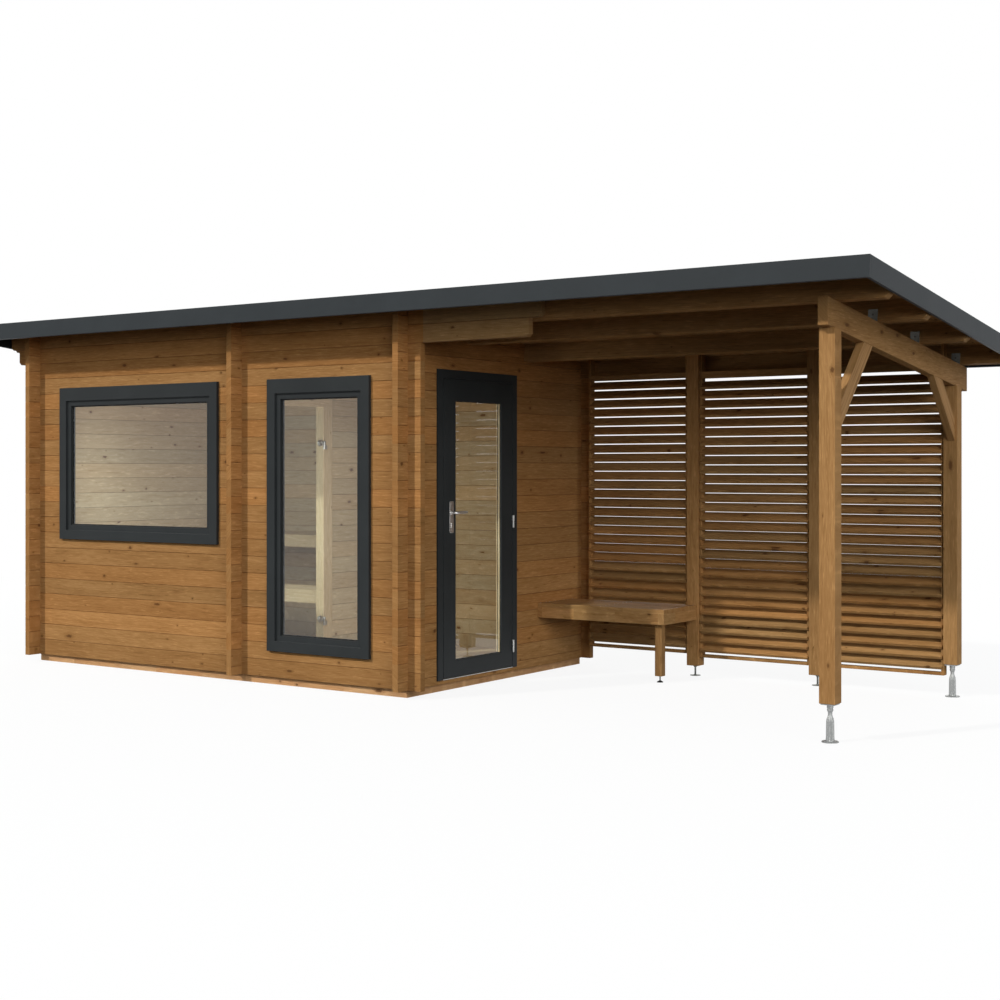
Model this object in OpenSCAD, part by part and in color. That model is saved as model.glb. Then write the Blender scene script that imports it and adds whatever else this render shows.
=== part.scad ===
// Log sauna cabin with a covered terrace under one mono-pitch roof.
// Frame: X runs to the right along the front wall, Y towards the back, Z up, millimetres.
// The origin is on the ground, at the middle of the joint between the bearers under the front
// wall and the door wall.

/* [Cabin] */
// Width of the cabin over its log faces
cabin_w = 3510; // [3000:10:4500]
// Depth of the cabin over its log faces
cabin_d = 2125; // [1900:5:3000]
// Width of the changing room, from the door wall's face to the partition's near face
changing_w = 1412; // [1350:2:1800]
// Thickness of the wall logs
wall_t = 44; // [34:1:70]
// Height of one log
log_h = 114; // [100:1:140]
// Depth of the V joint between two logs
groove = 3; // [0:0.5:8]
// How far a log runs past the corner that it crosses
log_end = 100; // [60:5:160]
// How far the rear wall's logs run past the door wall
rear_log_end = 75; // [60:5:160]
// Height of the timber bearers under the walls
bearer_h = 50; // [40:5:100]
// Width of a bearer
bearer_w = 60; // [45:1:100]
// How far the bearers stand back from the wall faces
bearer_setback = 25; // [0:1:35]
// Thickness of the floor boards
floor_t = 18; // [15:1:30]

/* [Windows] */
// Height of the casings' tops above the ground
window_top = 2027; // [1950:1:2060]
// Height of the wide window over its casing
wide_h = 1110; // [800:1:1300]
// Distance from the left wall's inner face to the wide window's casing
wide_left = 244; // [120:1:400]
// Distance from the partition to the wide window's casing
wide_right = 166; // [120:1:400]
// Height of the tall window over its casing
tall_h = 1801; // [1400:1:1850]
// Distance from the tall window's casing to the walls on both sides
tall_side = 249; // [150:1:300]
// Width of the casing boards at a window's sides
casing_w = 70; // [60:1:90]
// Width of the casing board under a window
casing_bottom = 68; // [60:1:100]
// Width of the casing board over a window
casing_top = 96; // [60:1:120]
// How far a casing stands proud of the logs
casing_t = 24; // [12:1:30]
// How far a casing laps over the logs
casing_lap = 32; // [20:1:40]
// How far the sash is set back from the casing's face
sash_back = 16; // [5:1:40]
// Width of a sash member
sash_w = 37; // [30:1:60]
// Thickness of a sash member
sash_t = 44; // [36:1:52]
// How far the glass is set back from the sash's face
glass_back = 16; // [8:1:18]
// Thickness of a glass unit
glass_t = 16; // [6:1:20]

/* [Entrance door] */
// Width of the door frame
door_w = 910; // [800:10:1000]
// Height of the door frame
door_h = 1998; // [1950:1:2040]
// Distance from the front wall's face to the door frame
door_y = 300; // [200:1:500]
// Underside of the door frame above the ground
door_z = 76; // [70:1:90]
// Width of a door jamb
jamb_w = 55; // [45:1:80]
// How far the door frame stands proud of the logs' outer face
door_proud = 14; // [8:1:25]
// How far the door frame laps over the logs
door_lap = 18; // [10:1:30]
// Width of the stop behind the leaf
door_stop = 26; // [15:1:35]
// Height of the metal threshold
threshold_h = 4; // [3:1:30]
// Width of the door leaf's stiles
stile_w = 132; // [90:1:150]
// Height of the door leaf's top rail
top_rail = 140; // [90:1:180]
// Height of the door leaf's bottom rail
bottom_rail = 107; // [80:1:200]
// Thickness of the door leaf
leaf_t = 42; // [35:1:55]
// Running gap round the leaf
leaf_gap = 5; // [5:0.5:8]
// Radius of a hinge knuckle
hinge_r = 8; // [6:0.5:10]
// Height of a hinge
hinge_h = 84; // [60:1:110]
// Width of one hinge plate
hinge_plate = 9; // [8:1:25]
// Height of the lower hinge above the leaf's underside
low_hinge = 96; // [60:1:200]
// Height of the upper hinge above the leaf's underside
high_hinge = 947; // [700:1:1500]
// Distance from the leaf's edge to the lever's spindle
backset = 85; // [60:1:95]
// Height of the lever above the ground
lever_z = 1150; // [950:1:1200]
// Length of the lever
lever_l = 132; // [100:1:140]
// How far the lever stands off the leaf
lever_reach = 34; // [25:1:50]
// Radius of the lever's neck and of its grip
lever_r = 9; // [7:0.5:11]
// Width of a lock plate
plate_w = 44; // [35:1:50]
// Height of a lock plate
plate_h = 204; // [160:1:240]
// Thickness of a lock plate
plate_t = 3; // [2:0.5:5]

/* [Sauna door] */
// Width of the sauna door's glass leaf
sauna_leaf_w = 680; // [600:5:720]
// Height of the sauna door's glass leaf
sauna_leaf_h = 1800; // [1700:10:1900]
// Distance from the front wall's face to the sauna door's frame
sauna_door_y = 92; // [80:1:200]
// Thickness of the sauna door's glass
sauna_glass_t = 8; // [6:1:10]
// Width of the sauna door's frame members
sauna_jamb_w = 45; // [35:1:70]
// Running gap round the sauna door's leaf
sauna_gap = 5; // [5:0.5:8]
// How far the sauna door's frame stands proud of the partition
sauna_proud = 14; // [10:1:20]
// Width of the trim beside and over the sauna door, towards the rear wall
sauna_trim = 52; // [30:1:80]
// Height of a sauna door hinge
sauna_hinge_h = 60; // [40:1:80]
// Radius of a sauna door hinge's knuckle
sauna_hinge_r = 9; // [7:0.5:12]
// Distance from the leaf's ends to the hinges
sauna_hinge_end = 240; // [150:5:400]
// Radius of the sauna door's turned handle
knob_r = 20; // [15:1:30]
// Length of the turned handle on each side of the glass
knob_l = 38; // [25:1:42]

/* [Roof] */
// Height of the logs over the door frame, up to the roof, before rounding to whole logs
over_door_h = 370; // [260:1:500]
// Fall of the roof towards the back
pitch = 6.3; // [3:0.1:9]
// Overhang in front of the front wall
front_eave = 300; // [200:10:450]
// Overhang behind the rear wall
rear_eave = 250; // [120:5:350]
// Overhang past the left wall
left_eave = 330; // [290:5:450]
// Overhang past the terrace beam
right_eave = 312; // [250:1:450]
// Thickness of the roof boards
roof_board_t = 20; // [16:1:30]
// Thickness of the roofing felt
felt_t = 4; // [2:0.5:6]
// Height of the fascia boards
fascia_h = 118; // [90:1:160]
// Thickness of the fascia boards
fascia_t = 20; // [16:1:30]
// Width of a purlin
purlin_w = 58; // [45:1:80]
// Height of a purlin
purlin_h = 120; // [90:1:160]
// Distance from the front wall to the second purlin, along the slope
second_purlin = 650; // [500:1:750]
// Distance from the second purlin to the third
purlin_step = 686; // [500:1:750]
// Distance from a purlin's end to the inside of the side fascia
purlin_end = 12; // [5:1:60]
// How far the front wall's top log runs past the left wall
top_log_left_l = 281; // [150:1:300]
// How far the front wall's top log runs past the door wall
top_log_right_l = 990; // [400:1:1500]
// How much shorter the log under it is at its left end
left_step_l = 90; // [0:1:110]
// How much shorter the log under it is at its right end
right_step_l = 88; // [0:1:110]
// Cut at the lower corner of each roof-bearing log and purlin
end_bevel = 20; // [5:1:60]

/* [Terrace] */
// Side of a square post
post_w = 90; // [80:1:120]
// Clear width of a screen bay between two posts
bay_w = 812; // [700:1:1000]
// Clear width of the bay beside the cabin
first_bay_w = 827; // [700:1:1000]
// Distance from the rear posts' centres to the rear wall's outer face
rear_post_back = 120; // [95:5:200]
// Centre of the front post behind the front wall's face
front_post_y = 22; // [0:1:100]
// Width of the terrace beam
beam_w = 58; // [45:1:90]
// Height of the terrace beam
beam_h = 150; // [120:1:200]
// How far the beam runs past the front post
beam_front = 54; // [30:1:120]
// How far the beam runs past the last post
beam_rear = 155; // [60:5:200]
// Depth of a knee brace
brace_h = 100; // [60:1:120]
// Thickness of a knee brace
brace_t = 44; // [34:1:58]
// Slope of a knee brace
brace_angle = 45; // [35:1:55]
// Foot of the front brace's middle line below the top of the front wall
front_brace_drop = 753; // [500:1:900]
// Foot of the rear brace's middle line below the top of the front wall
rear_brace_drop = 766; // [600:1:900]
// Side of a purlin bracket's legs
bracket_l = 70; // [35:1:90]
// Width of a purlin bracket
bracket_w = 55; // [25:1:70]
// Thickness of a purlin bracket
bracket_t = 3; // [2:0.5:4]
// Height of a short foot
short_foot_h = 71; // [60:1:120]
// Height of a long foot
long_foot_h = 204; // [150:1:250]
// Diameter of a short foot's rod
short_rod_d = 14; // [10:1:24]
// Diameter of a long foot's rod
long_rod_d = 30; // [16:1:40]
// Diameter of a short foot's base
short_base_d = 74; // [50:1:90]
// Diameter of a long foot's base
long_base_d = 90; // [60:1:90]
// Side of the square plate on a long foot
head_w = 76; // [50:1:90]
// Thickness of a foot's plates
foot_plate_t = 6; // [4:0.5:10]

/* [Screens] */
// Distance between two slats
slat_pitch = 64.7; // [58:0.1:66]
// Depth of a slat
slat_w = 90; // [70:1:95]
// Thickness of a slat
slat_t = 20; // [12:1:24]
// Tilt of a slat
slat_tilt = 29; // [15:1:40]
// Width of a screen's stiles
screen_stile = 19; // [15:1:40]
// Height of a screen's bottom rail
screen_rail = 19; // [15:1:40]
// Depth of a screen's stiles and rails
screen_frame_d = 54; // [40:1:80]
// Gap between the lowest slat and the bottom rail
screen_low_gap = 18.5; // [3:0.5:30]
// Gap between the top slat and the top rail
screen_top_gap = 17; // [3:0.5:30]
// Least height of a screen's top rail
screen_head_h = 30; // [20:1:60]
// Underside of a screen above the ground
screen_z = 131; // [100:1:150]
// How much higher the screen beside the cabin hangs
first_screen_lift = 20; // [0:1:30]
// Gap between the door wall and the screen beside it
first_screen_x = 125; // [80:5:160]

/* [Bench] */
// Length of the terrace bench
bench_l = 1000; // [980:1:1010]
// Depth of the terrace bench
bench_d = 467; // [350:1:500]
// Height of the terrace bench
bench_z = 492; // [400:1:520]
// Thickness of the bench boards
bench_board_t = 28; // [20:1:35]
// Bench boards
bench_boards = 4; // [2:1:6]
// Gap between two bench boards
bench_gap = 3; // [2:0.5:10]
// Height of the bench apron
apron_h = 74; // [50:1:100]
// Thickness of the bench apron
apron_t = 36; // [18:1:42]
// Side of the bench leg
leg_w = 52; // [45:1:70]
// Height of the bench leg's foot
leg_foot_h = 42; // [30:1:80]
// Diameter of the rod under the leg
leg_rod_d = 10; // [8:1:14]
// Diameter of the base under the leg
leg_base_d = 44; // [30:1:55]
// Thickness of the base under the leg
leg_base_t = 12; // [6:1:20]

/* [Sauna benches] */
// Height of the upper bench
upper_z = 917; // [850:1:950]
// Depth of the upper bench
upper_d = 600; // [500:5:640]
// Height of the lower bench
lower_z = 528; // [420:1:540]
// Depth of the lower bench
lower_d = 378; // [300:1:420]
// Height of a bench's front board
bench_edge = 94; // [70:1:110]
// Thickness of the sauna bench boards
slat_board_t = 28; // [20:1:35]
// Gap between two sauna bench boards
slat_gap = 12; // [6:1:20]

/* [Hidden] */
big = 9000;
// Flat timber faces touch; a let-in piece has this much play at each side
play = 0.3;
// How far a cut runs past the face that it opens
over = 1;

// Walls
wall_z = bearer_h;
rear_y = cabin_d - wall_t;
left_x = -cabin_w;
partition_x = -changing_w - wall_t;
door_wall_x = -wall_t;
crossings = [left_x, partition_x, door_wall_x];
side_z = wall_z + log_h / 2;
floor_z = wall_z + floor_t;

// Windows: the sash's face, and [left edge, right edge, underside of the casing]
sash_y = sash_back - casing_t;
wide = [left_x + wall_t + wide_left, partition_x - wide_right, window_top - wide_h];
tall = [-changing_w + tall_side, door_wall_x - tall_side, window_top - tall_h];

// Roof: its own frame has its plane on the underside of the boards
front_logs = round((door_z + door_h + over_door_h - wall_z) / log_h);
roof_z = wall_z + front_logs * log_h;
slope_cos = cos(pitch);
slope_sin = sin(pitch);
slope_tan = tan(pitch);
roof_s0 = -front_eave / slope_cos;
roof_s1 = (cabin_d + rear_eave) / slope_cos;
rear_logs = ceil((roof_z - wall_z - rear_y * slope_tan - purlin_h / slope_cos) / log_h);
fascia_top = roof_board_t + felt_t;

// Terrace posts and beam
rear_post_y = cabin_d - rear_post_back;
post_x = [
    log_end + first_bay_w + post_w / 2,
    log_end + first_bay_w + bay_w + 1.5 * post_w,
    log_end + first_bay_w + 2 * bay_w + 2.5 * post_w
];
beam_x = post_x[2];
beam_y0 = front_post_y - post_w / 2 - beam_front;
beam_y1 = rear_post_y + post_w / 2 + beam_rear;
beam_low = -purlin_h - beam_h;
roof_x0 = left_x - left_eave;
roof_x1 = beam_x + beam_w / 2 + right_eave;
purlin_x0 = roof_x0 + fascia_t + purlin_end;
purlin_x1 = roof_x1 - fascia_t - purlin_end;

// Purlins, by the near edge of each one on the slope, the last one on the rear wall
first_purlin = (wall_t + play + purlin_h * slope_sin) / slope_cos;
rear_purlin = (cabin_d - wall_t / 2 + purlin_h / 2 * slope_sin) / slope_cos - purlin_w / 2;
purlin_s = [first_purlin, second_purlin, second_purlin + purlin_step, rear_purlin];

// The front wall's two top logs run on under the eaves: [lower, upper]
top_log_x0 = [left_x - top_log_left_l + left_step_l, left_x - top_log_left_l];
top_log_x1 = [top_log_right_l - right_step_l, top_log_right_l];

// Entrance door
hole_y0 = door_y + door_lap;
hole_y1 = door_y + door_w - door_lap;
hole_z1 = door_z + door_h - door_lap;
leaf_y0 = door_y + jamb_w + leaf_gap;
leaf_y1 = door_y + door_w - jamb_w - leaf_gap;
leaf_z0 = door_z + threshold_h + leaf_gap;
leaf_z1 = door_z + door_h - jamb_w - leaf_gap;
leaf_x1 = door_proud;
leaf_x0 = leaf_x1 - leaf_t;
leaf_hole = [leaf_y0 + stile_w, leaf_y1 - stile_w, leaf_z0 + bottom_rail, leaf_z1 - top_rail];
hinge_x = leaf_x1 + hinge_r + over;
hinge_y = leaf_y1 + leaf_gap / 2;
hinge_z = [leaf_z0 + low_hinge, leaf_z0 + high_hinge];
lever_y = leaf_y0 + backset;
plate_below = 0.64 * plate_h;

// Sauna door
sauna_hole_y0 = sauna_door_y;
sauna_hole_y1 = sauna_door_y + sauna_leaf_w + 2 * (sauna_jamb_w + sauna_gap);
sauna_hole_z1 = floor_z + sauna_leaf_h + 2 * sauna_gap + sauna_jamb_w;
sauna_leaf_y0 = sauna_hole_y0 + sauna_jamb_w + sauna_gap;
sauna_leaf_y1 = sauna_leaf_y0 + sauna_leaf_w;
sauna_leaf_z = floor_z + sauna_gap;
sauna_face = -changing_w + sauna_proud;
sauna_leaf_x = sauna_face - sauna_glass_t;
sauna_hinge_x = sauna_face + sauna_hinge_r + 2;
sauna_hinge_y = sauna_leaf_y1 + sauna_gap / 2;
sauna_hinge_z = [
    sauna_leaf_z + sauna_hinge_end,
    sauna_leaf_z + sauna_leaf_h - sauna_hinge_end - sauna_hinge_h
];

// Screens: half of a tilted slat's height, and the places that follow from it
slat_half = (slat_w * sin(slat_tilt) + slat_t * cos(slat_tilt)) / 2;
first_slat = screen_z + screen_rail + screen_low_gap + slat_half;
purlin_low_z = roof_z - (rear_post_y + post_w / 2) * slope_tan - purlin_h / slope_cos;
slats = floor((purlin_low_z - screen_head_h - screen_top_gap - slat_half - first_slat) / slat_pitch) + 1;
top_rail_z = first_slat + (slats - 1) * slat_pitch + slat_half + screen_top_gap;

// Terrace bench
bench_y1 = rear_post_y - post_w / 2;
bench_y0 = bench_y1 - bench_d;
bench_frame_z1 = bench_z - bench_board_t;
leg_x0 = bench_l - apron_t - leg_w;
leg_y0 = bench_y0 + apron_t;

// ---- shared shapes ----

// Children are drawn from the corner of the two walls' outer faces, at ground level
module from_corner()
    translate([bearer_setback + bearer_w / 2, -bearer_setback - bearer_w / 2, 0]) children();

// Children drawn in the roof's frame: X as it is, Y down the slope, Z square to the roof
module on_roof() translate([0, 0, roof_z]) rotate([-pitch, 0, 0]) children();

// Everything below a plane at height n over the underside of the roof boards
module under_roof(n = 0) on_roof() translate([-big, -big, n - big]) cube([2 * big, 2 * big, big]);

// Box from one corner to the other
module block(a, b) translate(a) cube(b - a);

// Section of a log wall from z0 to z1, with a V joint on both faces at each of the heights
function log_section(z0, z1, joints) = concat(
    [[0, z0]],
    [for (z = joints) each [[0, z - groove], [groove, z], [0, z + groove]]],
    [[0, z1], [wall_t, z1]],
    [for (i = [len(joints) - 1 : -1 : 0]) each [
        [wall_t, joints[i] + groove], [wall_t - groove, joints[i]], [wall_t, joints[i] - groove]
    ]],
    [[wall_t, z0]]
);

// Joint heights strictly between z0 and z1, for logs that start at height base
function joint_heights(base, z0, z1) = [
    for (z = [base : log_h : z1]) if (z > z0 + groove && z < z1 - groove) z
];

// A log wall along X, its outer face at y
module wall_along_x(x0, x1, y, z0, z1)
    translate([x0, y, 0]) rotate([90, 0, 90]) linear_extrude(x1 - x0)
        polygon(log_section(z0, z1, joint_heights(wall_z, z0, z1)));

// A log wall along Y, its low-X face at x, with its logs half a log higher
module wall_along_y(x, y0, y1, z0, z1)
    translate([x, y1, 0]) rotate([90, 0, 0]) linear_extrude(y1 - y0)
        polygon(log_section(z0, z1, joint_heights(side_z, z0, z1)));

// Where logs along Y cross a wall along X, they take this half of the height
module y_necks(y)
    for (x = crossings) {
        block([x, y, wall_z], [x + wall_t, y + wall_t, wall_z + log_h / 4]);
        for (z = [wall_z + 0.75 * log_h : log_h : roof_z])
            block([x, y, z], [x + wall_t, y + wall_t, z + log_h / 2]);
    }

// The other half, taken by the logs along X
module x_necks(x)
    for (y = [0, rear_y], z = [wall_z + log_h / 4 : log_h : roof_z])
        block([x, y, z], [x + wall_t, y + wall_t, z + log_h / 2]);

// A bar along X on the slope, its lower end corners cut back
module bevelled_bar(x0, x1, w, h, cut = end_bevel)
    translate([0, w, 0]) rotate([90, 0, 0]) linear_extrude(w) polygon([
        [x0 + cut, 0], [x1 - cut, 0], [x1, cut], [x1, h], [x0, h], [x0, cut]
    ]);

// The room that the purlins take in a side wall
module purlin_notches() {
    for (s = purlin_s)
        on_roof() translate([-big, s - play, -purlin_h]) cube([2 * big, purlin_w + 2 * play, big]);
    intersection() {
        block([-big, wall_t, 0], [big, wall_t + purlin_w / 2, big]);
        on_roof() translate([-big, -big, -purlin_h]) cube([2 * big, 2 * big, big]);
    }
}

// A side wall, cut to the slope, notched for the purlins and for the crossing logs
module side_wall(x, y0, y1, z0, z1 = big)
    difference() {
        intersection() {
            wall_along_y(x, y0, y1, z0, min(z1, roof_z + log_h));
            under_roof();
        }
        x_necks(x);
        purlin_notches();
    }

// Rectangular ring standing in the XZ plane between depths y0 and y1
module ring_x(x0, x1, z0, z1, y0, y1, side, bottom, top)
    difference() {
        block([x0, y0, z0], [x1, y1, z1]);
        block([x0 + side, y0 - over, z0 + bottom], [x1 - side, y1 + over, z1 - top]);
    }

// ---- ground frame ----

module foundation() color("tan") from_corner() {
    x0 = left_x + bearer_setback;
    x1 = -bearer_setback;
    y0 = bearer_setback;
    y1 = cabin_d - bearer_setback;
    joists = 8;
    step = (x1 - x0 - bearer_w) / joists;
    for (y = [y0, y1 - bearer_w])
        block([x0, y, 0], [x1, y + bearer_w, bearer_h]);
    for (i = [0 : joists])
        block([x0 + i * step, y0, 0], [x0 + i * step + bearer_w, y1, bearer_h]);
}

module floor_panel(x0, x1) block([x0, wall_t, wall_z], [x1, rear_y, floor_z]);

module floor() color("burlywood") from_corner() {
    floor_panel(left_x + wall_t, partition_x);
    floor_panel(-changing_w, door_wall_x);
    block([partition_x - over, sauna_hole_y0, wall_z], [-changing_w + over, sauna_hole_y1, floor_z]);
}

// ---- log walls ----

// The hole for a window, w = [left edge, right edge, underside]
module window_hole(w)
    block([w[0] + casing_lap, -over, w[2] + casing_lap],
          [w[1] - casing_lap, wall_t + over, window_top - casing_lap]);

module front_wall() color("peru") from_corner() difference() {
    intersection() {
        union() {
            wall_along_x(left_x - log_end, log_end, 0, wall_z, roof_z);
            intersection() {
                wall_along_x(top_log_x0[1], top_log_x1[1], 0, roof_z - 2 * log_h, roof_z);
                for (i = [0, 1])
                    translate([0, 0, roof_z - (2 - i) * log_h])
                        bevelled_bar(top_log_x0[i], top_log_x1[i], wall_t, log_h);
            }
        }
        under_roof();
    }
    y_necks(0);
    window_hole(wide);
    window_hole(tall);
}

module rear_wall() color("peru") from_corner() difference() {
    intersection() {
        wall_along_x(left_x - log_end, rear_log_end, rear_y, wall_z, wall_z + rear_logs * log_h);
        under_roof(-purlin_h);
    }
    y_necks(rear_y);
}

module left_wall() color("peru") from_corner()
    side_wall(left_x, -log_end, cabin_d + log_end, wall_z);

module partition_front() color("peru") from_corner()
    side_wall(partition_x, -log_end, sauna_hole_y0, wall_z);

module partition_rear() color("peru") from_corner()
    side_wall(partition_x, sauna_hole_y1, cabin_d + log_end, wall_z);

module partition_top() color("peru") from_corner()
    side_wall(partition_x, sauna_hole_y0, sauna_hole_y1, sauna_hole_z1);

module door_wall_front() color("peru") from_corner()
    side_wall(door_wall_x, -log_end, hole_y0, wall_z);

module door_wall_rear() color("peru") from_corner()
    side_wall(door_wall_x, hole_y1, cabin_d + log_end, wall_z);

module door_wall_top() color("peru") from_corner()
    side_wall(door_wall_x, hole_y0, hole_y1, hole_z1);

module door_sill() color("peru") from_corner()
    block([door_wall_x, hole_y0, wall_z], [0, hole_y1, door_z]);

// ---- windows ----

// Casing outside and inside, a liner through the logs and the sash set back in it
module window_frame(w) {
    x0 = w[0];
    x1 = w[1];
    z0 = w[2];
    z1 = window_top;
    lap = casing_lap;
    edge = sash_w + over;
    for (y = [-casing_t, wall_t])
        ring_x(x0, x1, z0, z1, y, y + casing_t, casing_w, casing_bottom, casing_top);
    ring_x(x0 + lap, x1 - lap, z0 + lap, z1 - lap, -over, wall_t + over,
           casing_w - lap, casing_bottom - lap, casing_top - lap);
    ring_x(x0 + casing_w - over, x1 - casing_w + over, z0 + casing_bottom - over, z1 - casing_top + over,
           sash_y, sash_y + sash_t, edge, edge, edge);
}

module window_glass(w) {
    y = sash_y + glass_back;
    block([w[0] + casing_w + sash_w, y, w[2] + casing_bottom + sash_w],
          [w[1] - casing_w - sash_w, y + glass_t, window_top - casing_top - sash_w]);
}

module wide_window_frame() color("darkslategray") from_corner() window_frame(wide);
module wide_window_glass() color("lightblue", 0.5) from_corner() window_glass(wide);
module tall_window_frame() color("darkslategray") from_corner() window_frame(tall);
module tall_window_glass() color("lightblue", 0.5) from_corner() window_glass(tall);

// ---- entrance door ----

// Metal threshold between the jambs
module threshold_bar()
    block([door_wall_x, door_y + jamb_w, door_z],
          [door_proud, door_y + door_w - jamb_w, door_z + threshold_h]);

module door_threshold() color("silver") from_corner() threshold_bar();

// Two jambs and a head that line the opening, lap over the logs and carry the stop
module door_frame() color("darkslategray") from_corner() difference() {
    union() {
        block([0, door_y, door_z], [door_proud, door_y + door_w, door_z + door_h]);
        block([door_wall_x, hole_y0, door_z], [over, hole_y1, hole_z1]);
    }
    block([leaf_x0 - leaf_gap, leaf_y0 - leaf_gap, 0], [big, leaf_y1 + leaf_gap, leaf_z1 + leaf_gap]);
    block([-big, leaf_y0 + door_stop, 0], [big, leaf_y1 - door_stop, leaf_z1 - door_stop]);
    threshold_bar();
}

module door_leaf() color("darkslategray") from_corner() difference() {
    block([leaf_x0, leaf_y0, leaf_z0], [leaf_x1, leaf_y1, leaf_z1]);
    block([-big, leaf_hole[0], leaf_hole[2]], [big, leaf_hole[1], leaf_hole[3]]);
}

module door_glass() color("lightblue", 0.5) from_corner() {
    x = (leaf_x0 + leaf_x1 - glass_t) / 2;
    block([x, leaf_hole[0], leaf_hole[2]], [x + glass_t, leaf_hole[1], leaf_hole[3]]);
}

// Along X from the outer face (side 1) or the inner face (side 0) of the leaf
module off_leaf(side)
    translate([side == 0 ? leaf_x0 : leaf_x1, lever_y, lever_z])
        rotate([0, side == 0 ? -90 : 90, 0]) children();

// Back plates, inside and out, with a hole round the spindle
module door_lock() color("silver") from_corner()
    for (side = [0, 1]) {
        x = side == 0 ? leaf_x0 - plate_t : leaf_x1;
        difference() {
            block([x, lever_y - plate_w / 2, lever_z - plate_below],
                  [x + plate_t, lever_y + plate_w / 2, lever_z - plate_below + plate_h]);
            off_leaf(side) translate([0, 0, -over])
                cylinder(r = lever_r + play, h = plate_t + 2 * over, $fn = 48);
        }
    }

// Lever outside and inside: a neck square to the leaf and a grip along Y
module door_lever() color("silver") from_corner()
    for (side = [0, 1])
        off_leaf(side) {
            cylinder(r = lever_r, h = lever_reach, $fn = 48);
            translate([0, 0, lever_reach]) sphere(r = lever_r, $fn = 48);
            translate([0, 0, lever_reach]) rotate([-90, 0, 0])
                cylinder(r = lever_r, h = lever_l, $fn = 48);
        }

// Knuckle and plate of a hinge, the plate reaching from the axis to y
module hinge_half(z, h, y) {
    translate([hinge_x, hinge_y, z]) cylinder(r = hinge_r, h = h, $fn = 48);
    block([leaf_x1, min(y, hinge_y), z], [leaf_x1 + plate_t, max(y, hinge_y), z + h]);
}

module door_hinges() color("white") from_corner()
    for (z = hinge_z)
        hinge_half(z + hinge_h / 2 + play, hinge_h / 2 - play, leaf_y1 - hinge_plate);

module frame_hinges() color("white") from_corner()
    for (z = hinge_z)
        hinge_half(z, hinge_h / 2, leaf_y1 + leaf_gap + hinge_plate);

// ---- sauna door in the partition ----

// Jambs and head through the partition, with a wider trim on the changing room's side
module sauna_door_frame() color("wheat") from_corner() {
    low_y = sauna_hole_y0 + sauna_jamb_w;
    high_y = sauna_hole_y1 - sauna_jamb_w;
    high_z = sauna_hole_z1 - sauna_jamb_w;
    difference() {
        union() {
            block([partition_x - sauna_proud, sauna_hole_y0, floor_z],
                  [sauna_face, sauna_hole_y1, sauna_hole_z1]);
            block([-changing_w, wall_t, floor_z],
                  [sauna_face, sauna_hole_y1 + sauna_trim, sauna_hole_z1 + sauna_trim]);
        }
        block([-big, low_y, 0], [big, high_y, high_z]);
    }
}

module sauna_door_glass() color("lightblue", 0.5) from_corner()
    block([sauna_leaf_x, sauna_leaf_y0, sauna_leaf_z],
          [sauna_face, sauna_leaf_y1, sauna_leaf_z + sauna_leaf_h]);

// Hinge clamps on the glass and a turned handle on each side
module sauna_door_fittings() color("silver") from_corner() {
    clamp_t = 5;
    clamp_l = 50;
    knob_from_edge = 50;
    knob_z = sauna_leaf_z + sauna_leaf_h / 2;
    h = sauna_hinge_h / 2 - play;
    for (z = sauna_hinge_z)
        translate([0, 0, z + sauna_hinge_h / 2 + play]) {
            translate([sauna_hinge_x, sauna_hinge_y, 0]) cylinder(r = sauna_hinge_r, h = h, $fn = 48);
            block([sauna_face, sauna_leaf_y1 - clamp_l, 0], [sauna_face + clamp_t, sauna_hinge_y, h]);
        }
    for (side = [-1, 1])
        translate([side < 0 ? sauna_leaf_x : sauna_face, sauna_leaf_y0 + knob_from_edge, knob_z])
            rotate([0, 90 * side, 0]) cylinder(r = knob_r, h = knob_l, $fn = 48);
}

module sauna_frame_hinges() color("silver") from_corner() {
    plate_l = 40;
    for (z = sauna_hinge_z)
        translate([0, 0, z]) {
            translate([sauna_hinge_x, sauna_hinge_y, 0])
                cylinder(r = sauna_hinge_r, h = sauna_hinge_h / 2, $fn = 48);
            block([sauna_face, sauna_hinge_y, 0],
                  [sauna_face + plate_t, sauna_hinge_y + plate_l, sauna_hinge_h / 2]);
        }
}

// ---- sauna benches ----

// Slatted bench along the back of the sauna room: a front board, battens across and seat boards
module slatted_bench(depth, z, y_back, boards) {
    x0 = left_x + wall_t;
    x1 = partition_x;
    batten = 45;
    t = slat_board_t;
    y0 = y_back - depth;
    w = (depth - t) / boards - slat_gap;
    block([x0, y0, z - bench_edge], [x1, y0 + t, z]);
    for (x = [x0, (x0 + x1 - batten) / 2, x1 - batten])
        block([x, y0 + t - over, z - bench_edge], [x + batten, y_back, z - t]);
    for (i = [0 : boards - 1]) {
        y = y0 + t + slat_gap + i * (w + slat_gap);
        block([x0, y, z - t - over], [x1, y + w, z]);
    }
}

module sauna_benches() color("wheat") from_corner() {
    slatted_bench(upper_d, upper_z, rear_y, 5);
    slatted_bench(lower_d, lower_z, rear_y - upper_d, 3);
}

// ---- roof ----

module purlins() color("peru") from_corner()
    on_roof() for (s = purlin_s)
        translate([0, s, -purlin_h]) bevelled_bar(purlin_x0, purlin_x1, purlin_w, purlin_h);

module roof_layer(n, t)
    on_roof() block([roof_x0 + fascia_t + play, roof_s0 + fascia_t + play, n],
                    [roof_x1 - fascia_t - play, roof_s1 - fascia_t - play, n + t]);

module roof_boards() color("peru") from_corner() roof_layer(0, roof_board_t);
module roof_felt() color("dimgray") from_corner() roof_layer(roof_board_t, felt_t);

module fascia(x0, x1, s0, s1)
    on_roof() block([x0, s0, fascia_top - fascia_h], [x1, s1, fascia_top]);

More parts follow.
